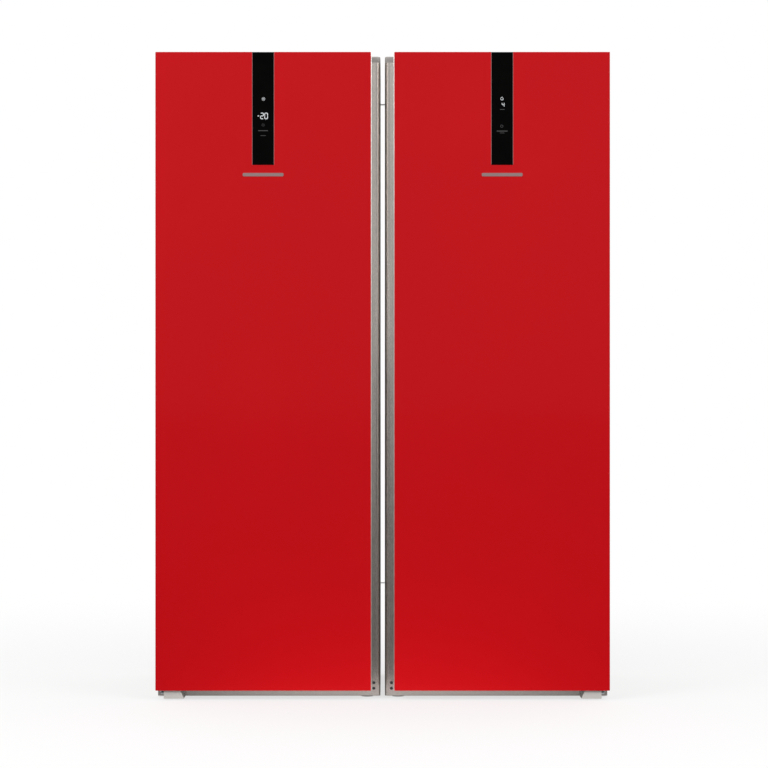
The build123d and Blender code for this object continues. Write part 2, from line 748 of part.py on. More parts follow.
# ---- door ----
def display_outline(grow, y0, y1):
    """The upright strip for the display at the door's top edge."""
    half = DISPLAY_WIDTH / 2 + grow
    low = TOTAL_HEIGHT - DISPLAY_HEIGHT - grow
    return block(GLASS_MID - half, GLASS_MID + half, y0, y1, low, TOTAL_HEIGHT + grow)


def door_glass():
    """Toughened front glass with ground edges and a notch for the display strip."""
    sheet = block(GLASS_LEFT, GLASS_RIGHT, FRONT, GLASS_BACK, DOOR_BOTTOM, TOTAL_HEIGHT)
    sheet = fillet(sheet.edges().filter_by(Axis.Y), 2)
    sheet = chamfer(sheet.edges().group_by(Axis.Y)[0], 0.6)
    return sheet - display_outline(0, FRONT - 1, GLASS_BACK + 1)


def display_panel():
    """Black glass strip with the touch display behind it."""
    strip = display_outline(-DISPLAY_GAP, FRONT, GLASS_BACK)
    return chamfer(strip.edges().group_by(Axis.Y)[0], 0.4)


def badge():
    """Plain satin bar below the display."""
    left = GLASS_MID - BADGE_WIDTH / 2
    bar = block(
        left, left + BADGE_WIDTH, FRONT - BADGE_PROUD, FRONT, BADGE_TOP - BADGE_HEIGHT, BADGE_TOP
    )
    return fillet(bar.edges().filter_by(Axis.Y), BADGE_HEIGHT / 3)


def grip_recess():
    """Full-height finger channel in the door's opening side."""
    return block(FRAME_LEFT - 5, FRAME_LEFT + GRIP_DEEP, GRIP_FRONT, GRIP_BACK, 0, TOTAL_HEIGHT + 5)


def hinge_pocket():
    """Space at the door's top corner in which the fixed hinge arm turns."""
    return block(POCKET_LEFT, HALF + 5, POCKET_FRONT, DOOR_BACK + 5, POCKET_BOTTOM, TOTAL_HEIGHT + 5)


def pocket_corner():
    """Everything above and around the hinge pocket, where no sheet or foam runs."""
    return block(POCKET_LEFT - BLOCK_RIB, HALF, FRONT, REAR, POCKET_BOTTOM - 1, TOTAL_HEIGHT)


def hinge_blocks():
    """Solid corners behind the glass that hold the hinge pins."""
    right = FRAME_RIGHT - FRAME_WALL
    back = DOOR_BACK - LINER
    block_bottom = POCKET_BOTTOM - BLOCK_HEIGHT
    floor = FRAME_BOTTOM + FRAME_WALL
    upper = block(POCKET_LEFT, right, GLASS_BACK, back, block_bottom, POCKET_BOTTOM)
    rib = block(
        POCKET_LEFT - BLOCK_RIB, POCKET_LEFT, GLASS_BACK, back, block_bottom, FRAME_TOP - FRAME_WALL
    )
    lower = block(POCKET_LEFT, right, GLASS_BACK, back, floor, FRAME_BOTTOM + BLOCK_HEIGHT)
    return [upper, rib, lower]


def door_frame():
    """Outer frame of the door body with its two hinge blocks."""
    frame = ring(FRAME_LEFT, FRAME_RIGHT, GLASS_BACK, DOOR_BACK, FRAME_BOTTOM, FRAME_TOP, FRAME_WALL)
    for piece in hinge_blocks():
        frame += piece
    frame -= grip_recess()
    frame -= hinge_pocket()
    bore = HINGE_PIN_R + RUNNING_CLEARANCE
    frame -= rod(HINGE_X, HINGE_Y, POCKET_BOTTOM - BLOCK_HEIGHT + 2, bore, BLOCK_HEIGHT)
    frame -= rod(HINGE_X, HINGE_Y, FRAME_BOTTOM - 1, bore, BLOCK_HEIGHT - 2)
    return frame


def door_foam():
    """Foam core of the door."""
    inset = FRAME_WALL
    core = block(
        FRAME_LEFT + inset, FRAME_RIGHT - inset, GLASS_BACK, DOOR_BACK - LINER,
        FRAME_BOTTOM + inset, FRAME_TOP - inset,
    )
    core -= grip_recess()
    core -= pocket_corner()
    for piece in hinge_blocks():
        core -= piece
    return core


def grip_profile():
    """Extruded aluminium grip: lips on the door's side and the channel between them."""
    lip_x = FRAME_LEFT - GRIP_LIP
    lip_edge = 1.2
    channel_x = lip_x + 1.4
    bend = 6.0
    end_inset = 0.5
    end_thick = 2.0
    deep = FRAME_LEFT + GRIP_DEEP
    front_lip = block(lip_x, FRAME_LEFT, GLASS_BACK, GRIP_FRONT, FRAME_BOTTOM, FRAME_TOP)
    front_lip = round_edges(front_lip, Axis.Z, lip_edge, lambda c: c.X < lip_x + 0.1)
    back_lip = block(lip_x, FRAME_LEFT, GRIP_BACK, DOOR_BACK, FRAME_BOTTOM, FRAME_TOP)
    back_lip = round_edges(back_lip, Axis.Z, lip_edge, lambda c: c.X < lip_x + 0.1)
    channel = block(channel_x, deep, GRIP_FRONT, GRIP_BACK, FRAME_BOTTOM, FRAME_TOP)
    hollow = block(
        lip_x - 1, deep - GRIP_SHEET, GRIP_FRONT + GRIP_SHEET, GRIP_BACK - GRIP_SHEET,
        FRAME_BOTTOM - 1, FRAME_TOP + 1,
    )
    hollow = round_edges(hollow, Axis.Z, bend, lambda c: c.X > deep - GRIP_SHEET - 1)
    profile = front_lip + back_lip + channel - hollow
    for z in (FRAME_BOTTOM, FRAME_TOP - end_thick):
        profile += block(
            channel_x, deep - end_inset, GRIP_FRONT + end_inset, GRIP_BACK - end_inset,
            z, z + end_thick,
        )
    return profile


def door_gasket():
    """Magnetic door seal with a bellows groove along its middle."""
    front = DOOR_BACK
    back = DOOR_BACK + GASKET_THICK
    seal = ring(GASKET_LEFT, GASKET_RIGHT, front, back, GASKET_BOTTOM, GASKET_TOP, GASKET_WIDTH)
    groove_width = 3.0
    groove_depth = 2.5
    inset = (GASKET_WIDTH - groove_width) / 2
    groove = ring(
        GASKET_LEFT + inset, GASKET_RIGHT - inset, back - groove_depth, back + 1,
        GASKET_BOTTOM + inset, GASKET_TOP - inset, groove_width,
    )
    return seal - groove


def liner_sheet():
    """Flat part of the door's inner liner, inside the outer frame."""
    inset = FRAME_WALL
    sheet = block(
        FRAME_LEFT + inset, FRAME_RIGHT - inset, DOOR_BACK - LINER, DOOR_BACK,
        FRAME_BOTTOM + inset, FRAME_TOP - inset,
    )
    return sheet - hinge_pocket() - pocket_corner()


def freezer_door_liner():
    """Inner liner with a flat raised plug."""
    plug = block(-PLUG_HALF, PLUG_HALF, DOOR_BACK, CABINET_FRONT, PLUG_BOTTOM, PLUG_TOP)
    corner = 20.0
    bevel = 5.0
    plug = fillet(plug.edges().filter_by(Axis.Y), corner)
    plug = chamfer(plug.edges().group_by(Axis.Y)[-1], bevel)
    return liner_sheet() + plug


def bin_lug(side, level):
    """Boss on the dyke that carries one end of a bin."""
    z = level + LUG_RISE
    face = PLUG_HALF - DYKE_WIDTH
    return block(
        side * (face - LUG_PROUD), side * (face + 1), LUG_FRONT, LUG_BACK, z, z + LUG_HEIGHT
    )


def fridge_door_liner():
    """Inner liner with a dyke all round and lugs for the bins."""
    dyke = ring(-PLUG_HALF, PLUG_HALF, DOOR_BACK, DYKE_BACK, PLUG_BOTTOM - 8, PLUG_TOP, DYKE_WIDTH)
    dyke = fillet(dyke.edges().group_by(Axis.Y)[-1], 4)
    panel = liner_sheet() + dyke
    for level, _ in BIN_LEVELS:
        for side in (-1, 1):
            panel += bin_lug(side, level)
    return panel


def door_bin(level, height):
    """Open moulded bin that hangs on two lugs."""
    shell = block(-BIN_HALF, BIN_HALF, BIN_BACK, BIN_FRONT, level, level + height)
    corner = 12.0
    inner_corner = 9.0
    shell = fillet(shell.edges().filter_by(Axis.Z), corner)
    hollow = block(
        -BIN_HALF + BIN_WALL, BIN_HALF - BIN_WALL, BIN_BACK + BIN_WALL, BIN_FRONT - BIN_WALL,
        level + BIN_WALL, level + height + 1,
    )
    shell -= fillet(hollow.edges().filter_by(Axis.Z), inner_corner)
    top = level + LUG_RISE + LUG_HEIGHT + 0.5
    for side in (-1, 1):
        shell -= block(
            side * (BIN_HALF - LUG_PROUD), side * (BIN_HALF + 1), LUG_FRONT - 1, LUG_BACK + 1,
            level - 1, top,
        )
    return shell


# ---- drawers and shelves ----
def drawer(front, rear, bottom, top):
    """Clear moulded drawer with a deep front and a full-width grip lip."""
    side_drop = 26.0
    corner = 10.0
    hook_drop = 24.0
    hook_thick = 3.0
    lip_thick = 4.0
    half = DRAWER_HALF
    wall = DRAWER_WALL
    panel = front + DRAWER_LIP
    body = block(-half, half, panel, rear, bottom, top - side_drop)
    body = round_edges(body, Axis.Z, corner, lambda c: c.Y > rear - 1)
    hollow = block(
        -half + wall, half - wall, panel + wall + 1, rear - wall, bottom + wall, top + 1
    )
    hollow = round_edges(hollow, Axis.Z, corner - wall, lambda c: c.Y > rear - 5)
    face = block(-half, half, panel, panel + wall + 1, bottom, top)
    lip = block(-half, half, front, panel + 1, top - lip_thick, top)
    hook = block(-half, half, front, front + hook_thick, top - hook_drop, top)
    return body - hollow + face + lip + hook


def freezer_zone(index):
    """Bottom of the shelf above which a freezer zone starts, and the zone's pitch."""
    pitch = (FREEZER_ZONE_TOP - FREEZER_SHELF_BOTTOM) / FREEZER_ZONES
    return FREEZER_SHELF_BOTTOM + index * pitch, pitch


def freezer_shelves():
    """Glass plates on the liner's ribs, one under each zone."""
    half = HALF - FREEZER_WALL - LINER - 1
    plates = []
    for index in range(FREEZER_ZONES):
        z, _ = freezer_zone(index)
        front = FREEZER_DRAWER_FRONT + DRAWER_LIP + 6
        plate = block(-half, half, front, FREEZER_DUCT_FRONT - 4, z, z + FREEZER_SHELF_THICK)
        plates.append(fillet(plate.edges().filter_by(Axis.Z), 5))
    return plates


def fridge_shelf_levels():
    """Heights of the glass shelves' undersides."""
    return [FRIDGE_SHELF_FIRST + index * FRIDGE_SHELF_PITCH for index in range(FRIDGE_SHELF_COUNT)]


def fridge_shelf_plate(half, z):
    """One glass shelf of the refrigerator, as wide as its half width says."""
    front = FRIDGE_SHELF_FRONT + TRIM_DEPTH - TRIM_OVERLAP
    rear = FRIDGE_SHELF_REAR - TRIM_OVERLAP
    return block(-half, half, front, rear, z, z + FRIDGE_SHELF_THICK)


def fridge_shelves():
    """Glass shelves of the refrigerator."""
    return [fridge_shelf_plate(FRIDGE_SHELF_HALF, z) for z in fridge_shelf_levels()]


def shelf_trims():
    """White trims along the front and rear edges of the glass shelves."""
    half = FRIDGE_SHELF_HALF
    front_y = FRIDGE_SHELF_FRONT
    rear_y = FRIDGE_SHELF_REAR
    rear_depth = 12.0
    nose = 4.0
    trims = []
    for z in fridge_shelf_levels():
        low = z - TRIM_DROP
        high = low + TRIM_HEIGHT
        glass = fridge_shelf_plate(HALF, z)
        front = block(-half, half, front_y, front_y + TRIM_DEPTH, low, high)
        front = round_edges(front, Axis.X, nose, lambda c: c.Y < front_y + 1)
        rear = block(-half, half, rear_y - rear_depth, rear_y, low, high)
        trims += [front - glass, rear - glass]
    return trims


# ---- feet, rollers and fasteners ----
def foot():
    """Levelling foot: pad, hexagon and threaded stud."""
    pad = rod(FOOT_X, FOOT_Y, 0, FOOT_PAD_R, FOOT_PAD_HEIGHT)
    pad = fillet(pad.edges().filter_by(GeomType.CIRCLE), 1.5)
    nut_r = 9.0
    nut_height = 3.0
    stud_top = 26.0
    nut = Pos(FOOT_X, FOOT_Y, FOOT_PAD_HEIGHT) * extrude(RegularPolygon(nut_r, 6), nut_height)
    stud = rod(FOOT_X, FOOT_Y, FOOT_PAD_HEIGHT, FOOT_STUD_R, stud_top - FOOT_PAD_HEIGHT)
    return pad + nut + stud


def rear_rollers():
    """Two rollers fixed on one axle across the rear of the base."""
    wheels = rod(-AXLE_HALF, ROLLER_Y, ROLLER_R, AXLE_R, 2 * AXLE_HALF, "X")
    for side in (-1, 1):
        start = side * ROLLER_X - ROLLER_WIDTH / 2
        wheel = rod(start, ROLLER_Y, ROLLER_R, ROLLER_R, ROLLER_WIDTH, "X")
        wheels += fillet(wheel.edges().filter_by(GeomType.CIRCLE), 2)
    return wheels


def screw(x, y, z, direction):
    """Pan head with a shallow cross recess, pointing out of the surface."""
    vectors = {"-Y": (90, 0, 0), "+Z": (0, 0, 0), "+Y": (-90, 0, 0)}
    radius = 4.0
    height = 2.2
    cross = 4.4
    cross_depth = 1.6
    head = Cylinder(radius, height, align=(Align.CENTER, Align.CENTER, Align.MIN))
    head = fillet(head.edges().group_by(Axis.Z)[-1], 1)
    head -= Pos(0, 0, height) * Box(cross, 1, cross_depth)
    head -= Pos(0, 0, height) * Box(1, cross, cross_depth)
    return Pos(x, y, z) * Rot(*vectors[direction]) * head


def fasteners():
    """Screws of the hinges and of the machine room cover."""
    screws = [screw(x, CABINET_FRONT - HINGE_PLATE, 38, "-Y") for x in (236, 252, 268)]
    screws += [screw(x, -196, CABINET_TOP + HINGE_PLATE, "+Z") for x in (236, 256, 276)]
    for x in (-285, 285):
        for z in (44, MACHINE_ROOM_TOP - 12):
            screws.append(screw(x, CABINET_REAR, z, "+Y"))
    return screws


def hole_plugs():
    """Plugs in the spare hinge holes on the opening side."""
    plugs = []
    x = -HALF + SPARE_HOLE_INSET
    for z in SPARE_HOLE_LEVELS:
        stem = rod(x, CABINET_FRONT, z, SPARE_HOLE_R - RUNNING_CLEARANCE, SHEET, "Y")
        head = rod(x, CABINET_FRONT - 1, z, SPARE_HOLE_R + 1, 1, "Y")
        plugs.append(stem + head)
    return plugs


def joining_brackets():
    """Folded plates across the gap that hold the two cabinets together at the rear."""
    brackets = []
    front = CABINET_REAR
    tab_rear = front + BRACKET_SHEET
    tab_corner = 5.0
    for z in BRACKET_LEVELS:
        bracket = block(
            -BRACKET_REACH, BRACKET_REACH, front, front + BRACKET_DEPTH, z, z + BRACKET_SHEET
        )
        for side in (-1, 1):
            near = side * BRACKET_TAB_START
            far = side * BRACKET_REACH
            tab = block(near, far, front, tab_rear, z, z + BRACKET_HEIGHT)
            bracket += fillet(tab.edges().filter_by(Axis.Y).group_by(Axis.Z)[-1], tab_corner)
        brackets.append(bracket)
    return brackets


def bracket_screws():
    """Screws that hold the joining brackets to both cabinets."""
    middle = (BRACKET_TAB_START + BRACKET_REACH) / 2
    return [
        screw(x, CABINET_REAR + BRACKET_SHEET, z + BRACKET_HEIGHT / 2, "+Y")
        for x in (-middle, middle)
        for z in BRACKET_LEVELS
    ]


# ---- placing and writing ----
def right(shape):
    """A unit's shape moved to the refrigerator's place."""
    return Pos(UNIT_X, 0, 0) * shape


def left(shape):
    """A unit's shape mirrored to the freezer's place."""
    return mirror(right(shape), about=Plane.YZ)


def both(shapes):
    """The same shapes in both units."""
    return [right(s) for s in shapes] + [left(s) for s in shapes]


def write(name, shapes):
    """One STEP file for one node."""
    solids = [solid for shape in shapes for solid in shape.solids()]
    export_step(Compound(children=solids) if len(solids) > 1 else solids[0], f"parts/{name}.step")


FREEZER_SIZES = (
    FREEZER_WALL,
    FREEZER_BACK_WALL,
    FREEZER_STEP_WALL,
    FREEZER_FLOOR_WALL,
    FREEZER_TOP_WALL,
)
FRIDGE_SIZES = (
    FRIDGE_WALL,
    FRIDGE_BACK_WALL,
    FRIDGE_STEP_WALL,
    FRIDGE_FLOOR_WALL,
    FRIDGE_TOP_WALL,
)


def freezer_ribs():
    """Height, front and rear of the ribs under the freezer's glass plates."""
    front = FREEZER_DRAWER_FRONT + 26
    rear = FREEZER_DUCT_FRONT - 6
    return [(freezer_zone(index)[0], front, rear) for index in range(FREEZER_ZONES)]


def fridge_ribs():
    """Height, front and rear of the ribs under the refrigerator's shelves."""
    front = FRIDGE_SHELF_FRONT + 4
    return [(z - TRIM_DROP, front, FRIDGE_SHELF_REAR) for z in fridge_shelf_levels()]


def freezer_outlets():
    """Heights of the air slots, one row near the top of each zone but the highest."""
    tops = [sum(freezer_zone(index)) for index in range(FREEZER_ZONES - 1)]
    return [top - FREEZER_OUTLET_DROP for top in tops]


def cabinet_nodes():
    """Everything that stays still."""
    freezer_rear = FOAM_REAR - FREEZER_BACK_WALL - LINER
    fridge_rear = FOAM_REAR - FRIDGE_BACK_WALL - LINER
    freezer_ceiling = FOAM_TOP - FREEZER_TOP_WALL - LINER
    fridge_ceiling = FOAM_TOP - FRIDGE_TOP_WALL - LINER
    fridge_outlets = [z + FRIDGE_OUTLET_RISE for z in fridge_shelf_levels()[:-1]]
    freezer_duct = duct(
        FREEZER_DUCT_HALF, FREEZER_DUCT_FRONT, freezer_rear,
        MACHINE_ROOM_TOP + FREEZER_DUCT_RISE, freezer_ceiling - 4,
        FREEZER_FAN_Z, freezer_outlets(),
    )
    fridge_duct = duct(
        FRIDGE_DUCT_HALF, FRIDGE_DUCT_FRONT, fridge_rear,
        FRIDGE_DUCT_BOTTOM, fridge_ceiling - 4,
        FRIDGE_FAN_Z, fridge_outlets,
    )
    return {
        "cabinet_panels": both(cabinet_panels() + front_rails()),
        "top_covers": both(top_cover()),
        "back_panels": both(back_panel()),
        "machine_room_covers": both(machine_room_cover()),
        "base_frames": both([base_frame()]),
        "cabinet_insulation": [
            *(left(slab) for slab in insulation(*FREEZER_SIZES)),
            *(right(slab) for slab in insulation(*FRIDGE_SIZES)),
        ],
        "inner_liners": [
            left(liner(*FREEZER_SIZES, freezer_ribs())),
            right(liner(*FRIDGE_SIZES, fridge_ribs())),
        ],
        "air_ducts": [left(freezer_duct), right(fridge_duct)],
        "evaporators": [
            left(evaporator(FREEZER_DUCT_FRONT + 8, freezer_rear - 6, FREEZER_COIL_BOTTOM)),
            right(evaporator(FRIDGE_DUCT_FRONT + 7, fridge_rear - 5, FRIDGE_COIL_BOTTOM)),
        ],
        "fan_motors": [
            left(fan_motor(FREEZER_DUCT_FRONT + 6, FREEZER_FAN_Z, freezer_rear)),
            right(fan_motor(FRIDGE_DUCT_FRONT + 5, FRIDGE_FAN_Z, fridge_rear)),
        ],
        "led_lamps": [left(lamp(freezer_ceiling)), right(lamp(fridge_ceiling))],
        "compressors": both([compressor()]),
        "compressor_grommets": both(grommets()),
        "control_boxes": both(control_box()),
        "drip_trays": both(drip_tray()),
        "refrigerant_pipes": both(refrigerant_pipes()),
        "condensers": both(condenser()),
        "power_inlets": both(power_inlet()),
        "upper_hinges": both(upper_hinge()),
        "lower_hinges": both(lower_hinge()),
        "hinge_covers": both(hinge_cover()),
        "hinge_foot_covers": both(hinge_foot_cover()),
        "glass_shelves": [left(s) for s in freezer_shelves()] + [right(s) for s in fridge_shelves()],
        "fridge_shelf_trims": [right(s) for s in shelf_trims()],
        "joining_brackets": joining_brackets(),
        "fasteners": both(fasteners() + grommet_bolts()) + bracket_screws(),
        "hole_plugs": both(hole_plugs()),
    }


def door_nodes():
    """Both doors and the refrigerator door's bins."""
    shared = {
        "door_glass": door_glass(),
        "display_panel": display_panel(),
        "badge": badge(),
        "door_frame": door_frame(),
        "door_foam": door_foam(),
        "door_grip": grip_profile(),
        "door_gasket": door_gasket(),
    }
    nodes = {}
    for name, shape in shared.items():
        nodes[f"freezer_{name}"] = [left(shape)]
        nodes[f"fridge_{name}"] = [right(shape)]
    nodes["freezer_door_liner"] = [left(freezer_door_liner())]
    nodes["fridge_door_liner"] = [right(fridge_door_liner())]
    nodes["fridge_door_bins"] = [right(door_bin(*level)) for level in BIN_LEVELS]
    return nodes


def loose_nodes():
    """Drawers, fans, feet and rollers: each moves on its own."""
    nodes = {}
    for index in range(FREEZER_ZONES - 1):
        shelf, pitch = freezer_zone(FREEZER_ZONES - 2 - index)
        low = shelf + FREEZER_SHELF_THICK + 0.5
        high = shelf + pitch - FREEZER_DRAWER_SPARE
        body = drawer(FREEZER_DRAWER_FRONT, FREEZER_DRAWER_REAR, low, high)
        nodes[f"freezer_drawer_{index + 1}"] = [left(body)]
    lowest = drawer(FREEZER_DRAWER_FRONT, FREEZER_LOW_DRAWER_REAR, *FREEZER_LOW_DRAWER)
    nodes[f"freezer_drawer_{FREEZER_ZONES}"] = [left(lowest)]
    nodes["fridge_crisper_1"] = [right(drawer(CRISPER_FRONT, CRISPER_HIGH_REAR, *CRISPER_HIGH))]
    nodes["fridge_crisper_2"] = [right(drawer(CRISPER_FRONT, CRISPER_LOW_REAR, *CRISPER_LOW))]
    nodes["freezer_fan"] = [left(fan(FREEZER_DUCT_FRONT + 6, FREEZER_FAN_Z))]
    nodes["fridge_fan"] = [right(fan(FRIDGE_DUCT_FRONT + 5, FRIDGE_FAN_Z))]
    outer_foot = foot()
    inner_foot = mirror(outer_foot, about=Plane.YZ)
    for side, place in (("freezer", left), ("fridge", right)):
        nodes[f"{side}_outer_foot"] = [place(outer_foot)]
        nodes[f"{side}_inner_foot"] = [place(inner_foot)]
        nodes[f"{side}_rear_rollers"] = [place(rear_rollers())]
    return nodes


os.makedirs("parts", exist_ok=True)
for old in os.listdir("parts"):
    os.remove(os.path.join("parts", old))
for nodes in (cabinet_nodes(), door_nodes(), loose_nodes()):
    for name, shapes in nodes.items():
        write(name, shapes)
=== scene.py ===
import json
import math

import bmesh
import bpy
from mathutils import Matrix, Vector

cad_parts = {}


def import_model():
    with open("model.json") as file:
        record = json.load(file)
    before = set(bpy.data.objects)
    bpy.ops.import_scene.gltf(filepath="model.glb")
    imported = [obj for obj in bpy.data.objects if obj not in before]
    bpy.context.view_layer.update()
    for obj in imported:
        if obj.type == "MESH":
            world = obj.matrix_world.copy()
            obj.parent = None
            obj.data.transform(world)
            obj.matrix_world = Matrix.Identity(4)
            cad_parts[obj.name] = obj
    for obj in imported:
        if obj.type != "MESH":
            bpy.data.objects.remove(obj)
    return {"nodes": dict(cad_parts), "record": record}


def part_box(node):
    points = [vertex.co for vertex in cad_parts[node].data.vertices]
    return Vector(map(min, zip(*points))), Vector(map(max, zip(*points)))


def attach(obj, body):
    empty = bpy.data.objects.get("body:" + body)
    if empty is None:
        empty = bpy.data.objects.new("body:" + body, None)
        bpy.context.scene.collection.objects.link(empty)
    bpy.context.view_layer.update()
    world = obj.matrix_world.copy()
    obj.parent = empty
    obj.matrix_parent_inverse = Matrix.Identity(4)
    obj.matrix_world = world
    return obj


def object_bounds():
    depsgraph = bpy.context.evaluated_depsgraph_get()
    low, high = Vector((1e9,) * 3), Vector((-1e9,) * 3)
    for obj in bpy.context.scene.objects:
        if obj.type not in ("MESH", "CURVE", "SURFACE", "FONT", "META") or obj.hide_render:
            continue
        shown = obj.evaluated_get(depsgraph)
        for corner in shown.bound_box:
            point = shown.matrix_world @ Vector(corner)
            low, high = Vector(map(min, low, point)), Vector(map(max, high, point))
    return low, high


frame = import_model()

CAD_BOX = [list(corner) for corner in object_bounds()]
NODES = frame["nodes"]
MM = 0.001
UNIT_X = 0.3035    # middle of each cabinet, from the middle of the pair
SUNK = 0.2 * MM    # how far a moulded detail reaches into the face it stands on
WHITE = (1.0, 1.0, 1.0, 1.0)


# ---------------------------------------------------------------- materials
class Surface:
    """One principled material with small helpers for its texture nodes."""

    def __init__(self, name, colour, rough, metal=0.0, **sockets):
        self.material = bpy.data.materials.new(name)
        self.material.use_nodes = True
        self.tree = self.material.node_tree
        self.shader = self.tree.nodes["Principled BSDF"]
        self.set("Base Color", (*colour, 1.0))
        self.set("Roughness", rough)
        self.set("Metallic", metal)
        for socket, value in sockets.items():
            self.set(socket.replace("_", " "), value)
        coords = self.tree.nodes.new("ShaderNodeTexCoord")
        self.coords = coords.outputs["Object"]

    def set(self, socket, value):
        self.shader.inputs[socket].default_value = value

    def link(self, start, end):
        self.tree.links.new(start, end)

    def stretched(self, scale):
        """The object's own coordinates, scaled along each axis."""
        mapping = self.tree.nodes.new("ShaderNodeMapping")
        mapping.inputs["Scale"].default_value = scale
        self.link(self.coords, mapping.inputs["Vector"])
        return mapping.outputs["Vector"]

    def noise(self, scale, detail=3.0, roughness=0.5, stretch=None):
        node = self.tree.nodes.new("ShaderNodeTexNoise")
        node.inputs["Scale"].default_value = scale
        node.inputs["Detail"].default_value = detail
        node.inputs["Roughness"].default_value = roughness
        self.link(self.stretched(stretch) if stretch else self.coords, node.inputs["Vector"])
        return node.outputs["Fac"]

    def cells(self, scale, output="Distance"):
        node = self.tree.nodes.new("ShaderNodeTexVoronoi")
        node.inputs["Scale"].default_value = scale
        self.link(self.coords, node.inputs["Vector"])
        return node.outputs[output]

    def ramp(self, factor, stops):
        """A colour ramp; stops are (position, colour)."""
        node = self.tree.nodes.new("ShaderNodeValToRGB")
        band = node.color_ramp
        while len(band.elements) < len(stops):
            band.elements.new(0.5)
        for element, (position, colour) in zip(band.elements, stops):
            element.position = position
            element.color = (*colour, 1.0)
        self.link(factor, node.inputs["Fac"])
        return node.outputs["Color"]

    def spread(self, factor, low, high):
        """A factor from 0 to 1 stretched to a range."""
        node = self.tree.nodes.new("ShaderNodeMapRange")
        node.inputs["To Min"].default_value = low
        node.inputs["To Max"].default_value = high
        self.link(factor, node.inputs["Value"])
        return node.outputs["Result"]

    def colour_from(self, factor, stops):
        self.link(self.ramp(factor, stops), self.shader.inputs["Base Color"])

    def drift(self, factor, colour, dark, light, start=0.3, end=0.7):
        """Lets the colour drift between a darker and a lighter shade of it."""
        self.colour_from(factor, [(start, shade(colour, dark)), (end, shade(colour, light))])

    def rough_from(self, factor, low, high):
        self.link(self.spread(factor, low, high), self.shader.inputs["Roughness"])

    def bump(self, height, strength, distance):
        """Adds a bump on top of any earlier one."""
        node = self.tree.nodes.new("ShaderNodeBump")
        node.inputs["Strength"].default_value = strength
        node.inputs["Distance"].default_value = distance
        self.link(height, node.inputs["Height"])
        normal = self.shader.inputs["Normal"]
        if normal.is_linked:
            self.link(normal.links[0].from_socket, node.inputs["Normal"])
        self.link(node.outputs["Normal"], normal)


def shade(colour, factor):
    return tuple(min(1.0, channel * factor) for channel in colour)


def plastic(name, colour, rough, grain=900.0, depth=0.25):
    """Moulded plastic: fine spark-eroded grain and slow colour drift."""
    s = Surface(name, colour, rough)
    s.drift(s.noise(5.0, 4.0), colour, dark=0.965, light=1.03)
    s.rough_from(s.noise(38.0, 3.0), rough - 0.05, rough + 0.07)
    s.bump(s.noise(grain, 2.0), strength=depth, distance=0.00012)
    return s.material


def painted_steel(name, colour, rough, metal, depth=0.2):
    """Powder paint on sheet steel: orange peel over slow waves of the sheet."""
    s = Surface(name, colour, rough, metal, Coat_Weight=0.15, Coat_Roughness=0.25)
    s.drift(s.noise(3.0, 5.0), colour, dark=0.96, light=1.04)
    s.rough_from(s.noise(60.0, 3.0), rough - 0.04, rough + 0.06)
    s.bump(s.noise(420.0, 3.0), strength=depth, distance=0.00015)
    s.bump(s.noise(9.0, 2.0), strength=0.08, distance=0.002)
    return s.material


def brushed(name, colour, rough, stretch, depth=0.3, contrast=1.0):
    """Metal with fine drawn lines along one axis."""
    s = Surface(name, colour, rough, 1.0)
    lines = s.noise(60.0, 6.0, 0.65, stretch)
    dark, light = 1 - 0.05 * contrast, 1 + 0.03 * contrast
    s.drift(lines, colour, dark, light, start=0.25, end=0.75)
    s.rough_from(lines, rough - 0.05 * contrast, rough + 0.07 * contrast)
    s.bump(lines, strength=depth, distance=0.00008)
    return s.material


def red_glass():
    """Toughened glass with red enamel on its rear face."""
    enamel = (0.6, 0.0028, 0.0066)
    s = Surface("red_glass", enamel, 0.3, Specular_IOR_Level=0.1)
    s.set("Coat Weight", 0.06)
    s.set("Coat Roughness", 0.05)
    s.set("Coat IOR", 1.45)
    s.drift(s.noise(2.2, 3.0), enamel, dark=0.985, light=1.015, start=0.35, end=0.65)
    s.rough_from(s.noise(24.0, 4.0), 0.26, 0.34)
    s.bump(s.noise(3.5, 1.0), strength=0.03, distance=0.0008)
    return s.material


def black_glass():
    """Dark printed glass over the touch display."""
    s = Surface("black_glass", (0.0012, 0.0013, 0.0011), 0.08, Specular_IOR_Level=0.02)
    s.colour_from(
        s.noise(30.0, 3.0),
        [(0.4, (0.001, 0.0011, 0.001)), (0.7, (0.0016, 0.0017, 0.0014))],
    )
    s.rough_from(s.noise(55.0, 4.0), 0.05, 0.14)
    s.bump(s.noise(8.0, 1.0), strength=0.02, distance=0.0005)
    return s.material


def zinc_steel():
    """Galvanised sheet with crystal spangle."""
    s = Surface("zinc_steel", (0.62, 0.64, 0.66), 0.4, 1.0)
    spangle = s.cells(240.0, output="Color")
    grey = s.tree.nodes.new("ShaderNodeRGBToBW")
    s.link(spangle, grey.inputs["Color"])
    s.colour_from(grey.outputs["Val"], [(0.1, (0.53, 0.55, 0.57)), (0.9, (0.66, 0.68, 0.7))])
    s.rough_from(grey.outputs["Val"], 0.36, 0.5)
    s.bump(s.noise(350.0, 3.0), strength=0.15, distance=0.0001)
    return s.material


def copper():
    """Drawn copper tube with darker tarnished patches."""
    s = Surface("copper", (0.72, 0.33, 0.19), 0.28, 1.0)
    s.colour_from(
        s.noise(26.0, 5.0, 0.6),
        [(0.3, (0.42, 0.17, 0.09)), (0.5, (0.7, 0.32, 0.18)), (0.75, (0.82, 0.42, 0.26))],
    )
    s.rough_from(s.noise(40.0, 4.0), 0.2, 0.45)
    s.bump(s.noise(500.0, 2.0), strength=0.15, distance=0.0001)
    return s.material


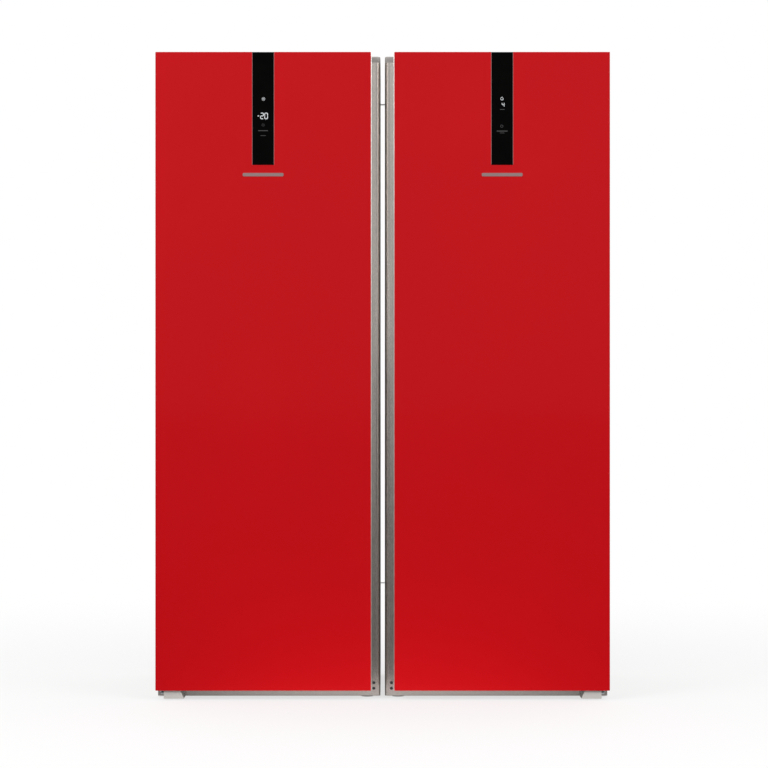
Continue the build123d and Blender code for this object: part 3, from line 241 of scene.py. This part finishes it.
def clear_plastic():
    """Crystal polystyrene with a light frost from the mould."""
    tint = (0.93, 0.96, 0.975)
    s = Surface("clear_plastic", tint, 0.12, IOR=1.45)
    s.set("Transmission Weight", 0.5)
    s.drift(s.noise(9.0, 3.0), tint, dark=0.98, light=1.01)
    s.rough_from(s.noise(70.0, 3.0), 0.08, 0.2)
    s.bump(s.noise(160.0, 2.0), strength=0.1, distance=0.0003)
    return s.material


def shelf_glass():
    """Clear float glass with a faint green tint."""
    tint = (0.92, 0.975, 0.96)
    s = Surface("shelf_glass", tint, 0.03, IOR=1.52)
    s.set("Transmission Weight", 0.95)
    s.drift(s.noise(4.0, 2.0), tint, dark=0.98, light=1.02)
    s.rough_from(s.noise(60.0, 3.0), 0.02, 0.06)
    return s.material


def lamp_lens():
    """Lit lens with a pattern of small prisms."""
    s = Surface("lamp_lens", (0.92, 0.94, 0.95), 0.3)
    s.set("Emission Color", (1.0, 0.97, 0.92, 1.0))
    s.set("Emission Strength", 9.0)
    s.bump(s.cells(220.0), strength=0.5, distance=0.0006)
    s.rough_from(s.noise(90.0), 0.25, 0.4)
    return s.material


def foam():
    """Cut polyurethane foam with open cells."""
    s = Surface("rigid_foam", (0.72, 0.62, 0.42), 0.9)
    s.colour_from(s.noise(60.0, 6.0), [(0.3, (0.6, 0.5, 0.31)), (0.7, (0.78, 0.69, 0.48))])
    s.bump(s.cells(500.0), strength=0.8, distance=0.0008)
    return s.material


def rubber(name, colour, rough):
    """Matt rubber with a fine grain."""
    s = Surface(name, colour, rough, Specular_IOR_Level=0.35)
    s.drift(s.noise(30.0, 4.0), colour, dark=0.88, light=1.1)
    s.rough_from(s.noise(120.0, 3.0), rough - 0.08, rough + 0.08)
    s.bump(s.noise(700.0, 4.0), strength=0.4, distance=0.00015)
    return s.material


def glow(name, colour, strength):
    """A mark on the display that gives off light."""
    s = Surface(name, (0.02, 0.02, 0.02), 0.35)
    s.set("Emission Color", (*colour, 1.0))
    s.set("Emission Strength", strength)
    s.bump(s.noise(900.0), strength=0.05, distance=0.00005)
    return s.material


MATERIALS = {
    "red_glass": red_glass(),
    "black_glass": black_glass(),
    "satin_metal": brushed("satin_metal", (0.4, 0.27, 0.27), 0.36, (1.0, 1.0, 40.0)),
    "door_trim": plastic("door_trim", (0.2, 0.19, 0.185), 0.42),
    "grip_aluminium": brushed(
        "grip_aluminium", (0.9, 0.86, 0.83), 0.27, (70.0, 70.0, 0.6), depth=0.05, contrast=0.4
    ),
    "rigid_foam": foam(),
    "seal_rubber": rubber("seal_rubber", (0.42, 0.43, 0.43), 0.55),
    "white_plastic": plastic("white_plastic", (0.83, 0.845, 0.85), 0.34),
    "clear_plastic": clear_plastic(),
    "shelf_glass": shelf_glass(),
    "cabinet_paint": painted_steel("cabinet_paint", (0.58, 0.535, 0.5), 0.2, 0.9),
    "top_plastic": plastic("top_plastic", (0.46, 0.43, 0.41), 0.46, grain=600.0, depth=0.5),
    "light_plastic": plastic("light_plastic", (0.62, 0.6, 0.57), 0.42),
    "black_steel": painted_steel("black_steel", (0.014, 0.014, 0.015), 0.42, 0.0, depth=0.4),
    "zinc_steel": zinc_steel(),
    "copper": copper(),
    "white_enamel": painted_steel("white_enamel", (0.82, 0.82, 0.8), 0.38, 0.0),
    "fin_aluminium": brushed("fin_aluminium", (0.8, 0.81, 0.82), 0.35, (4.0, 4.0, 30.0)),
    "black_rubber": rubber("black_rubber", (0.025, 0.025, 0.026), 0.62),
    "dark_plastic": plastic("dark_plastic", (0.045, 0.046, 0.048), 0.45, depth=0.4),
    "lamp_lens": lamp_lens(),
}
LIT_MARK = glow("display_light", (0.92, 0.96, 0.98), 0.85)
# Painted glow: the touch marks are no lamp, yet this material gives them a faint emission.
FAINT_PAINTED_GLOW = glow("display_print_painted_glow", (0.8, 0.83, 0.81), 0.06)


def dress_frame():
    """Gives every CAD node the material of its slot."""
    for row in frame["record"]["subparts"]:
        obj = NODES[row["node"]]
        material = MATERIALS[row["material_slot"]]
        if not obj.material_slots:
            obj.data.materials.append(material)
        for slot in obj.material_slots:
            slot.material = material


# ------------------------------------------------------------ piece helpers
def piece(name, mesh, body, slot, material=None):
    """Turns a bmesh into an object that rides on a body."""
    bmesh.ops.recalc_face_normals(mesh, faces=mesh.faces)
    data = bpy.data.meshes.new(name)
    mesh.to_mesh(data)
    mesh.free()
    obj = bpy.data.objects.new(name, data)
    bpy.context.scene.collection.objects.link(obj)
    data.materials.append(material or MATERIALS[slot])
    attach(obj, body)
    return obj


def smooth(obj, caps=True):
    """Shades the piece smoothly, and leaves the ends of rods flat if caps is off."""
    for polygon in obj.data.polygons:
        polygon.use_smooth = caps or len(polygon.vertices) == 4


def bevelled(obj, width, segments=2):
    """Rounds the piece's edges and shades it smoothly."""
    bevel = obj.modifiers.new("edges", "BEVEL")
    bevel.width = width
    bevel.segments = segments
    bevel.limit_method = "ANGLE"
    bevel.harden_normals = True
    smooth(obj)


def loose_boxes(node):
    """Lowest and highest corner of each separate solid of a CAD node, from the floor up."""
    mesh = bmesh.new()
    mesh.from_mesh(NODES[node].data)
    bmesh.ops.remove_doubles(mesh, verts=mesh.verts, dist=0.01 * MM)
    seen = set()
    boxes = []
    for start in mesh.verts:
        if start in seen:
            continue
        group, queue = [], [start]
        seen.add(start)
        while queue:
            vert = queue.pop()
            group.append(vert.co.copy())
            for edge in vert.link_edges:
                other = edge.other_vert(vert)
                if other not in seen:
                    seen.add(other)
                    queue.append(other)
        low = Vector(min(co[i] for co in group) for i in range(3))
        high = Vector(max(co[i] for co in group) for i in range(3))
        boxes.append((low, high))
    mesh.free()
    return sorted(boxes, key=lambda box: (round(box[0].z, 4), box[0].x))


# ----------------------------------------------------------------- outlines
def round_rect(x, z, half_x, half_z, radius, steps=6):
    """Outline of a rectangle with round corners, about a middle."""
    points = []
    for corner, (sx, sz) in enumerate(((1, 1), (-1, 1), (-1, -1), (1, -1))):
        cx = x + sx * (half_x - radius)
        cz = z + sz * (half_z - radius)
        for step in range(steps + 1):
            angle = math.radians(90 * corner + 90 * step / steps)
            points.append((cx + radius * math.cos(angle), cz + radius * math.sin(angle)))
    return points


def circle(x, z, radius, steps=20):
    turns = [2 * math.pi * i / steps for i in range(steps)]
    return [(x + radius * math.cos(a), z + radius * math.sin(a)) for a in turns]


def drop_outline(x, z, radius, steps=24):
    """Outline of a water drop, pointed at its top."""
    points = []
    for index in range(steps):
        turn = 2 * math.pi * index / steps
        wide = 0.92 * math.sin(turn) * (1 - 0.35 * math.cos(turn))
        points.append((x + radius * wide, z + 1.1 * radius * math.cos(turn)))
    return points


# ------------------------------------------- shapes that are added to a mesh
def add_prism(mesh, outline, depth):
    """A flat shape in the XZ plane given depth along Y, from front to back."""
    front, back = [[mesh.verts.new((x, y, z)) for x, z in outline] for y in depth]
    mesh.faces.new(front)
    mesh.faces.new(reversed(back))
    for i in range(len(outline)):
        j = (i + 1) % len(outline)
        mesh.faces.new((front[i], back[i], back[j], front[j]))


def add_slab(mesh, outline, z_low, z_high):
    """A flat shape in the XY plane given height."""
    bottom = [mesh.verts.new((x, y, z_low)) for x, y in outline]
    top = [mesh.verts.new((x, y, z_high)) for x, y in outline]
    mesh.faces.new(reversed(bottom))
    mesh.faces.new(top)
    for i in range(len(outline)):
        j = (i + 1) % len(outline)
        mesh.faces.new((bottom[i], bottom[j], top[j], top[i]))


def add_ring(mesh, outer, inner, depth):
    """A closed band between two outlines with as many points."""
    loops = []
    for y in depth:
        loops.append([mesh.verts.new((x, y, z)) for x, z in outer])
        loops.append([mesh.verts.new((x, y, z)) for x, z in inner])
    front_out, front_in, back_out, back_in = loops
    count = len(outer)
    for i in range(count):
        j = (i + 1) % count
        mesh.faces.new((front_out[i], front_out[j], front_in[j], front_in[i]))
        mesh.faces.new((back_out[j], back_out[i], back_in[i], back_in[j]))
        mesh.faces.new((front_out[j], front_out[i], back_out[i], back_out[j]))
        mesh.faces.new((front_in[i], front_in[j], back_in[j], back_in[i]))


def add_frame(mesh, low, high, inset, band, radius, depth):
    """A rounded frame in the XZ plane, set in from a box's outline."""
    x, z = (low.x + high.x) / 2, (low.z + high.z) / 2
    half_x, half_z = (high.x - low.x) / 2 - inset, (high.z - low.z) / 2 - inset
    outer = round_rect(x, z, half_x, half_z, radius)
    inner = round_rect(x, z, half_x - band, half_z - band, max(radius - band, 0.5 * MM))
    add_ring(mesh, outer, inner, depth)


def add_circle_of_points(mesh, centre, u, v, radius, sides):
    turns = [2 * math.pi * i / sides for i in range(sides)]
    return [mesh.verts.new(centre + (u * math.cos(a) + v * math.sin(a)) * radius) for a in turns]


def add_walls(mesh, here, there):
    """Quads between two rings of as many points."""
    for i in range(len(here)):
        j = (i + 1) % len(here)
        mesh.faces.new((here[i], here[j], there[j], there[i]))


def add_loop(mesh, path, radius, sides=10):
    """A round tube along a closed path of points."""
    rings = []
    for index, point in enumerate(path):
        along = (path[(index + 1) % len(path)] - path[index - 1]).normalized()
        u = along.cross(Vector((0, 0, 1))).normalized()
        rings.append(add_circle_of_points(mesh, point, u, u.cross(along), radius, sides))
    for here, there in zip(rings, rings[1:] + rings[:1]):
        add_walls(mesh, here, there)


def add_rod(mesh, start, end, radius, sides):
    """A capped upright rod between two points."""
    axis = (end - start).normalized()
    u = axis.cross(Vector((1, 0, 0))).normalized()
    v = axis.cross(u)
    first, last = [add_circle_of_points(mesh, p, u, v, radius, sides) for p in (start, end)]
    add_walls(mesh, first, last)
    mesh.faces.new(reversed(first))
    mesh.faces.new(last)


# ------------------------------------------------------------ display marks
SEGMENTS = {"0": "abcdef", "2": "abged", "4": "fgbc", "-": "g"}


def add_digit(mesh, figure, x, z, width, height, stroke, depth):
    """One seven-segment figure with pointed segments."""
    half_w, half_h = width / 2, height / 2
    gap = stroke * 0.12
    bars = {
        "a": (0, half_h, True), "g": (0, 0, True), "d": (0, -half_h, True),
        "b": (half_w, half_h / 2, False), "c": (half_w, -half_h / 2, False),
        "f": (-half_w, half_h / 2, False), "e": (-half_w, -half_h / 2, False),
    }
    for key in SEGMENTS[figure]:
        cx, cz, flat = bars[key]
        long = (half_w if flat else half_h / 2) - gap
        half = stroke / 2
        ends = [(-long, 0), (-long + half, half), (long - half, half),
                (long, 0), (long - half, -half), (-long + half, -half)]
        shape = [(x + cx + (a if flat else b), z + cz + (b if flat else a)) for a, b in ends]
        add_prism(mesh, shape, depth)


def add_bar(mesh, x, z, width, height, depth):
    add_prism(mesh, round_rect(x, z, width / 2, height / 2, height * 0.45, 4), depth)


def add_snowflake(mesh, x, z, radius, line, depth):
    """Six arms with two twigs each; a stroke is (start, end, lean) in parts of the radius."""
    strokes = ((0.1, 1.0, 0.0), (0.5, 0.78, 0.3), (0.5, 0.78, -0.3))
    for arm in range(6):
        angle = math.pi / 3 * arm
        along = Vector((math.cos(angle), math.sin(angle)))
        across = Vector((-along.y, along.x))
        for start, end, lean in strokes:
            a = along * (radius * start)
            b = along * (radius * end) + across * (radius * lean)
            side = Vector((-(b - a).y, (b - a).x)).normalized() * line
            corners = (a + side, a - side, b - side, b + side)
            add_prism(mesh, [(x + p.x, z + p.y) for p in corners], depth)


def freezer_marks(bright, faint, x, top, depth):
    """A snowflake over -20, and below them a ring and two lines that are unlit but carry a faint
    painted glow.
    """
    add_snowflake(bright, x + 1 * MM, top - 124 * MM, radius=5.0 * MM, line=0.24 * MM, depth=depth)
    figures = (("-", -12.5, 5.5), ("2", -3.0, 7.5), ("0", 8.0, 7.5))
    for figure, shift, width in figures:
        add_digit(bright, figure, x + shift * MM, top - 169 * MM, width * MM,
                  height=15 * MM, stroke=1.9 * MM, depth=depth)
    ring_z = top - 193 * MM
    add_ring(faint, circle(x, ring_z, 3.4 * MM), circle(x, ring_z, 2.7 * MM), depth)
    add_bar(faint, x, top - 208 * MM, width=26 * MM, height=1.6 * MM, depth=depth)
    add_bar(faint, x, top - 221 * MM, width=14 * MM, height=1.0 * MM, depth=depth)


def fridge_marks(bright, faint, x, top, depth):
    """A drop over a 4, and below them a line, a ring and two lines that are unlit but carry a
    faint painted glow.
    """
    drop_x, drop_z = x - 0.6 * MM, top - 123 * MM
    outer = drop_outline(drop_x, drop_z, 4.0 * MM)
    add_ring(bright, outer, drop_outline(drop_x, drop_z, 2.9 * MM), depth)
    add_digit(bright, "4", x + 2.5 * MM, top - 139.5 * MM, 5.5 * MM,
              height=10.5 * MM, stroke=1.4 * MM, depth=depth)
    add_bar(faint, x + 0.5 * MM, top - 152 * MM, width=12 * MM, height=1.1 * MM, depth=depth)
    ring_x, ring_z = x - 1 * MM, top - 196 * MM
    outer = circle(ring_x, ring_z, 3.6 * MM)
    add_ring(faint, outer, circle(ring_x, ring_z, 2.8 * MM), depth)
    add_bar(faint, x, top - 209 * MM, width=29 * MM, height=1.8 * MM, depth=depth)
    add_bar(faint, x, top - 214 * MM, width=12 * MM, height=1.0 * MM, depth=depth)


def display_marks(side, layout):
    """Lit figures and the faint touch marks of one display; the touch marks carry a painted glow.
    """
    low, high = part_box(f"{side}_display_panel")
    depth = (low.y - 0.12 * MM, low.y - 0.01 * MM)
    bright, faint = bmesh.new(), bmesh.new()
    layout(bright, faint, (low.x + high.x) / 2, high.z, depth)
    body = f"{side}_door"
    piece(f"{side}_display_figures", bright, body, "lamp_lens", LIT_MARK)
    piece(f"{side}_display_keys", faint, body, "lamp_lens", FAINT_PAINTED_GLOW)


def display_edges():
    """Thin polished line down both sides of each display strip."""
    half = 0.45 * MM
    for side in ("freezer", "fridge"):
        low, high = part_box(f"{side}_display_panel")
        z0, z1 = low.z + 1 * MM, high.z - 1 * MM
        mesh = bmesh.new()
        for x in (low.x - 0.1 * MM, high.x + 0.1 * MM):
            outline = [(x - half, z0), (x + half, z0), (x + half, z1), (x - half, z1)]
            add_prism(mesh, outline, (low.y - 0.12 * MM, low.y + 0.6 * MM))
        piece(f"{side}_display_edges", mesh, f"{side}_door", "satin_metal")


# ---------------------------------------------------------- moulded details
DRAWER_LIP = 15 * MM    # the drawer's grip stands this far in front of its face
DRAWER_HOOK = 24 * MM   # height of that grip


def add_leaf(mesh, x, z, length, angle, depth, steps=10):
    """A pointed leaf that starts at a point and leans at an angle."""
    outline = []
    for side in (1, -1):
        for i in range(steps):
            t = i / steps if side > 0 else 1 - i / steps
            wide = side * 0.2 * length * math.sin(math.pi * t)
            along = t * length
            outline.append((
                x + along * math.cos(angle) - wide * math.sin(angle),
                z + along * math.sin(angle) + wide * math.cos(angle),
            ))
    add_prism(mesh, outline, depth)


def snow_sign(mesh, x, z, depth):
    add_snowflake(mesh, x, z, radius=20 * MM, line=0.9 * MM, depth=depth)


def leaf_sign(mesh, x, z, depth):
    """Three leaves that fan out from one point."""
    for turn in (-1, 0, 1):
        lean = math.radians(90 + 50 * turn)
        add_leaf(mesh, x, z - 8 * MM, length=26 * MM, angle=lean, depth=depth)


def drawer_details(node, add_sign):
    """Frame, grip strip and sign moulded on a drawer's front."""
    low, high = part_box(node)
    x = (low.x + high.x) / 2
    face_y = low.y + DRAWER_LIP
    face_low = Vector((low.x, 0, low.z))
    face_high = Vector((high.x, 0, high.z - DRAWER_HOOK))

    border = bmesh.new()
    add_frame(border, face_low, face_high, inset=12 * MM, band=4 * MM, radius=12 * MM,
              depth=(face_y - 1.2 * MM, face_y + SUNK))
    bevelled(piece(f"{node}_frame", border, node, "clear_plastic"), 0.5 * MM)

    strip = bmesh.new()
    half_length = (high.x - low.x) / 2 - 16 * MM
    outline = round_rect(x, high.z - 12 * MM, half_length, 6.5 * MM, radius=6 * MM)
    add_prism(strip, outline, (low.y - 1.0 * MM, low.y + SUNK))
    bevelled(piece(f"{node}_grip_strip", strip, node, "white_plastic"), 0.6 * MM)

    sign = bmesh.new()
    add_sign(sign, x, (face_low.z + face_high.z) / 2, (face_y - 0.6 * MM, face_y + SUNK))
    piece(f"{node}_sign", sign, node, "white_plastic")


def bin_rims():
    """Round white rim and front band on every door bin."""
    rims, bands = bmesh.new(), bmesh.new()
    inset = 2.0 * MM
    for low, high in loose_boxes("fridge_door_bins"):
        x, y = (low.x + high.x) / 2, (low.y + high.y) / 2
        half_x = (high.x - low.x) / 2 - inset - 0.6 * MM
        outline = round_rect(x, y, half_x, (high.y - low.y) / 2 - inset, radius=10 * MM)
        rim_z = high.z + 1.0 * MM
        add_loop(rims, [Vector((a, b, rim_z)) for a, b in outline], radius=2.6 * MM)
        half_length = (high.x - low.x) / 2 - 18 * MM
        band = round_rect(x, high.z - 16 * MM, half_length, 5 * MM, radius=4.5 * MM)
        add_prism(bands, band, (high.y - SUNK, high.y + 1.0 * MM))
    smooth(piece("fridge_bin_rims", rims, "fridge_door", "white_plastic"))
    bevelled(piece("fridge_bin_bands", bands, "fridge_door", "grip_aluminium"), 0.4 * MM)


def door_liner_beads():
    """Three raised frames, one above the other, on the inner face of the freezer's door."""
    inner_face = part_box("freezer_door_liner")[1].y
    bottom, top, rows = 0.15, 1.58, 3
    half_width, margin, bead = 175, 12, 7    # in mm
    pitch = (top - bottom) / rows
    beads = bmesh.new()
    for row in range(rows):
        z = bottom + pitch * (row + 0.5)
        outer = round_rect(-UNIT_X, z, half_width * MM, pitch / 2 - margin * MM, radius=24 * MM)
        half_x, half_z = (half_width - bead) * MM, pitch / 2 - (margin + bead) * MM
        inner = round_rect(-UNIT_X, z, half_x, half_z, radius=18 * MM)
        add_ring(beads, outer, inner, (inner_face - 0.3 * MM, inner_face + 1.6 * MM))
    bevelled(piece("freezer_door_beads", beads, "freezer_door", "white_plastic"), 1.0 * MM, 3)


def back_panel_beads():
    """A pressed bead around each back panel."""
    beads = bmesh.new()
    for low, high in loose_boxes("back_panels"):
        add_frame(beads, low, high, inset=20 * MM, band=5 * MM, radius=26 * MM,
                  depth=(high.y - SUNK, high.y + 1.2 * MM))
    bevelled(piece("back_panel_beads", beads, "cabinets", "zinc_steel"), 0.6 * MM)


def top_cover_ribs():
    """Moulded ribs along the depth of each top cover."""
    each_side, pitch = 3, 52    # pitch in mm
    ribs = bmesh.new()
    for low, high in loose_boxes("top_covers"):
        x = (low.x + high.x) / 2
        y = (low.y + high.y) / 2 + 40 * MM
        for step in range(-each_side, each_side + 1):
            outline = round_rect(x + step * pitch * MM, y, 8 * MM, 165 * MM, radius=7.9 * MM)
            add_slab(ribs, outline, high.z - SUNK, high.z + 0.8 * MM)
    bevelled(piece("top_cover_ribs", ribs, "cabinets", "top_plastic"), 0.4 * MM)


def flange_ridges():
    """A fine ridge down the front flange on each side of the gap."""
    low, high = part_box("cabinet_panels")
    y = low.y + 0.4 * MM
    ridges = bmesh.new()
    for x in (-17.2 * MM, 17.2 * MM):
        bottom, top = Vector((x, y, low.z + 60 * MM)), Vector((x, y, high.z))
        add_rod(ridges, bottom, top, radius=1.0 * MM, sides=12)
    smooth(piece("flange_ridges", ridges, "cabinets", "cabinet_paint"))


def condenser_wires():
    """Upright wires welded to both faces of the condenser's tubes."""
    tube_y, weld = 0.318, 3.75                  # middle of the tubes; from there to a wire, in mm
    half_width, pitch = 0.2, 10 * MM
    clip_x, clip_room = 0.15, 12 * MM           # no wire where a spacer clip holds the tubes
    faces = ((-1, 0.0), (1, 0.5))               # the wires behind stand between those in front
    low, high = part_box("condensers")
    bottom, top = low.z - 6 * MM, high.z + 6 * MM
    count = int(2 * half_width / pitch) - 1
    for side, centre in (("freezer", -UNIT_X), ("fridge", UNIT_X)):
        mesh = bmesh.new()
        for face, shift in faces:
            y = tube_y + face * weld * MM
            for index in range(count):
                x = centre - half_width + pitch * (index + 1 + shift)
                if abs(abs(x - centre) - clip_x) >= clip_room:
                    add_rod(mesh, Vector((x, y, bottom)), Vector((x, y, top)), 0.75 * MM, 6)
        wires = piece(f"{side}_condenser_wires", mesh, "cabinets", "black_steel")
        smooth(wires, caps=False)


# ------------------------------------------------------- floor, light, view
# Pairs give a value where the surroundings are looked at, and where they light and reflect.
SKY = (1.0, 0.88)
FAR_FLOOR = (SKY[0], 0.1)
FADE_START = (0.8, 0.25)    # metres from the middle
FADE_END = (3.4, 0.9)
NEAR_GLOW = (0.68, 0.3)


def seen_or_felt(tree, seen, felt):
    """One value where the surroundings are looked at, another where they light and reflect."""
    path = tree.nodes.new("ShaderNodeLightPath")
    choice = tree.nodes.new("ShaderNodeMapRange")
    choice.inputs["To Min"].default_value = felt
    choice.inputs["To Max"].default_value = seen
    tree.links.new(path.outputs["Is Camera Ray"], choice.inputs["Value"])
    return choice.outputs["Result"]


def add_emission(tree):
    node = tree.nodes.new("ShaderNodeEmission")
    node.inputs["Color"].default_value = WHITE
    return node


def add_mix(tree, factor, first, second):
    """A shader mix; returns its output."""
    node = tree.nodes.new("ShaderNodeMixShader")
    tree.links.new(factor, node.inputs["Fac"])
    tree.links.new(first, node.inputs[1])
    tree.links.new(second, node.inputs[2])
    return node.outputs["Shader"]


def floor_paper():
    """Pale paper that glows a little nearby and fades into the surroundings."""
    s = Surface("floor_paper", (0.9, 0.9, 0.9), 0.75, Specular_IOR_Level=0.1)
    s.rough_from(s.noise(6.0, 4.0), 0.7, 0.85)
    tree = s.tree
    length = tree.nodes.new("ShaderNodeVectorMath")
    length.operation = "LENGTH"
    s.link(s.coords, length.inputs[0])
    fade = tree.nodes.new("ShaderNodeMapRange")
    fade.interpolation_type = "SMOOTHSTEP"
    s.link(seen_or_felt(tree, *FADE_START), fade.inputs["From Min"])
    s.link(seen_or_felt(tree, *FADE_END), fade.inputs["From Max"])
    s.link(length.outputs["Value"], fade.inputs["Value"])
    far = add_emission(tree)
    s.link(seen_or_felt(tree, *FAR_FLOOR), far.inputs["Strength"])
    near = add_emission(tree)
    near.inputs["Strength"].default_value = SKY[0]
    paper = s.shader.outputs["BSDF"]
    nearby = add_mix(tree, seen_or_felt(tree, *NEAR_GLOW), paper, near.outputs["Emission"])
    whole = add_mix(tree, fade.outputs["Result"], nearby, far.outputs["Emission"])
    s.link(whole, tree.nodes["Material Output"].inputs["Surface"])
    return s.material


def stage():
    """Wide round floor under the feet."""
    mesh = bmesh.new()
    bmesh.ops.create_circle(mesh, cap_ends=True, segments=96, radius=60.0)
    data = bpy.data.meshes.new("floor")
    mesh.to_mesh(data)
    mesh.free()
    floor = bpy.data.objects.new("floor", data)
    bpy.context.scene.collection.objects.link(floor)
    data.materials.append(floor_paper())


def world():
    """Even white surroundings."""
    sky = bpy.data.worlds.new("studio")
    bpy.context.scene.world = sky
    sky.use_nodes = True
    background = sky.node_tree.nodes["Background"]
    background.inputs["Color"].default_value = WHITE
    sky.node_tree.links.new(seen_or_felt(sky.node_tree, *SKY), background.inputs["Strength"])


def area_light(name, place, power, target=(0, 0, 0.8), size=2.4):
    lamp = bpy.data.lights.new(name, "AREA")
    lamp.shape = "RECTANGLE"
    lamp.size = lamp.size_y = size
    lamp.energy = power
    obj = bpy.data.objects.new(name, lamp)
    bpy.context.scene.collection.objects.link(obj)
    obj.location = place
    obj.rotation_euler = (Vector(target) - Vector(place)).to_track_quat("-Z", "Y").to_euler()
    obj.visible_camera = False


def camera():
    """Straight level front view, a little below the middle of the height."""
    distance, eye_height, off_centre = 7.0, 0.836, 0.0036
    view_width = 2.0302
    data = bpy.data.cameras.new("camera")
    data.sensor_width = 36.0
    data.lens = data.sensor_width * distance / view_width
    data.clip_end = 200.0
    obj = bpy.data.objects.new("camera", data)
    bpy.context.scene.collection.objects.link(obj)
    front = CAD_BOX[0][1]
    obj.location = (off_centre, front - distance, eye_height)
    obj.rotation_euler = (math.radians(90), 0, 0)
    bpy.context.scene.camera = obj


dress_frame()
display_marks("freezer", freezer_marks)
display_marks("fridge", fridge_marks)
condenser_wires()
for number in range(1, 6):
    drawer_details(f"freezer_drawer_{number}", snow_sign)
for number in (1, 2):
    drawer_details(f"fridge_crisper_{number}", leaf_sign)
bin_rims()
door_liner_beads()
back_panel_beads()
top_cover_ribs()
flange_ridges()
display_edges()
stage()
world()
area_light("key", (-3.6, -4.2, 3.2), power=95)
area_light("fill", (3.8, -4.0, 2.6), power=75)
camera()
bpy.context.scene.view_settings.view_transform = "Standard"
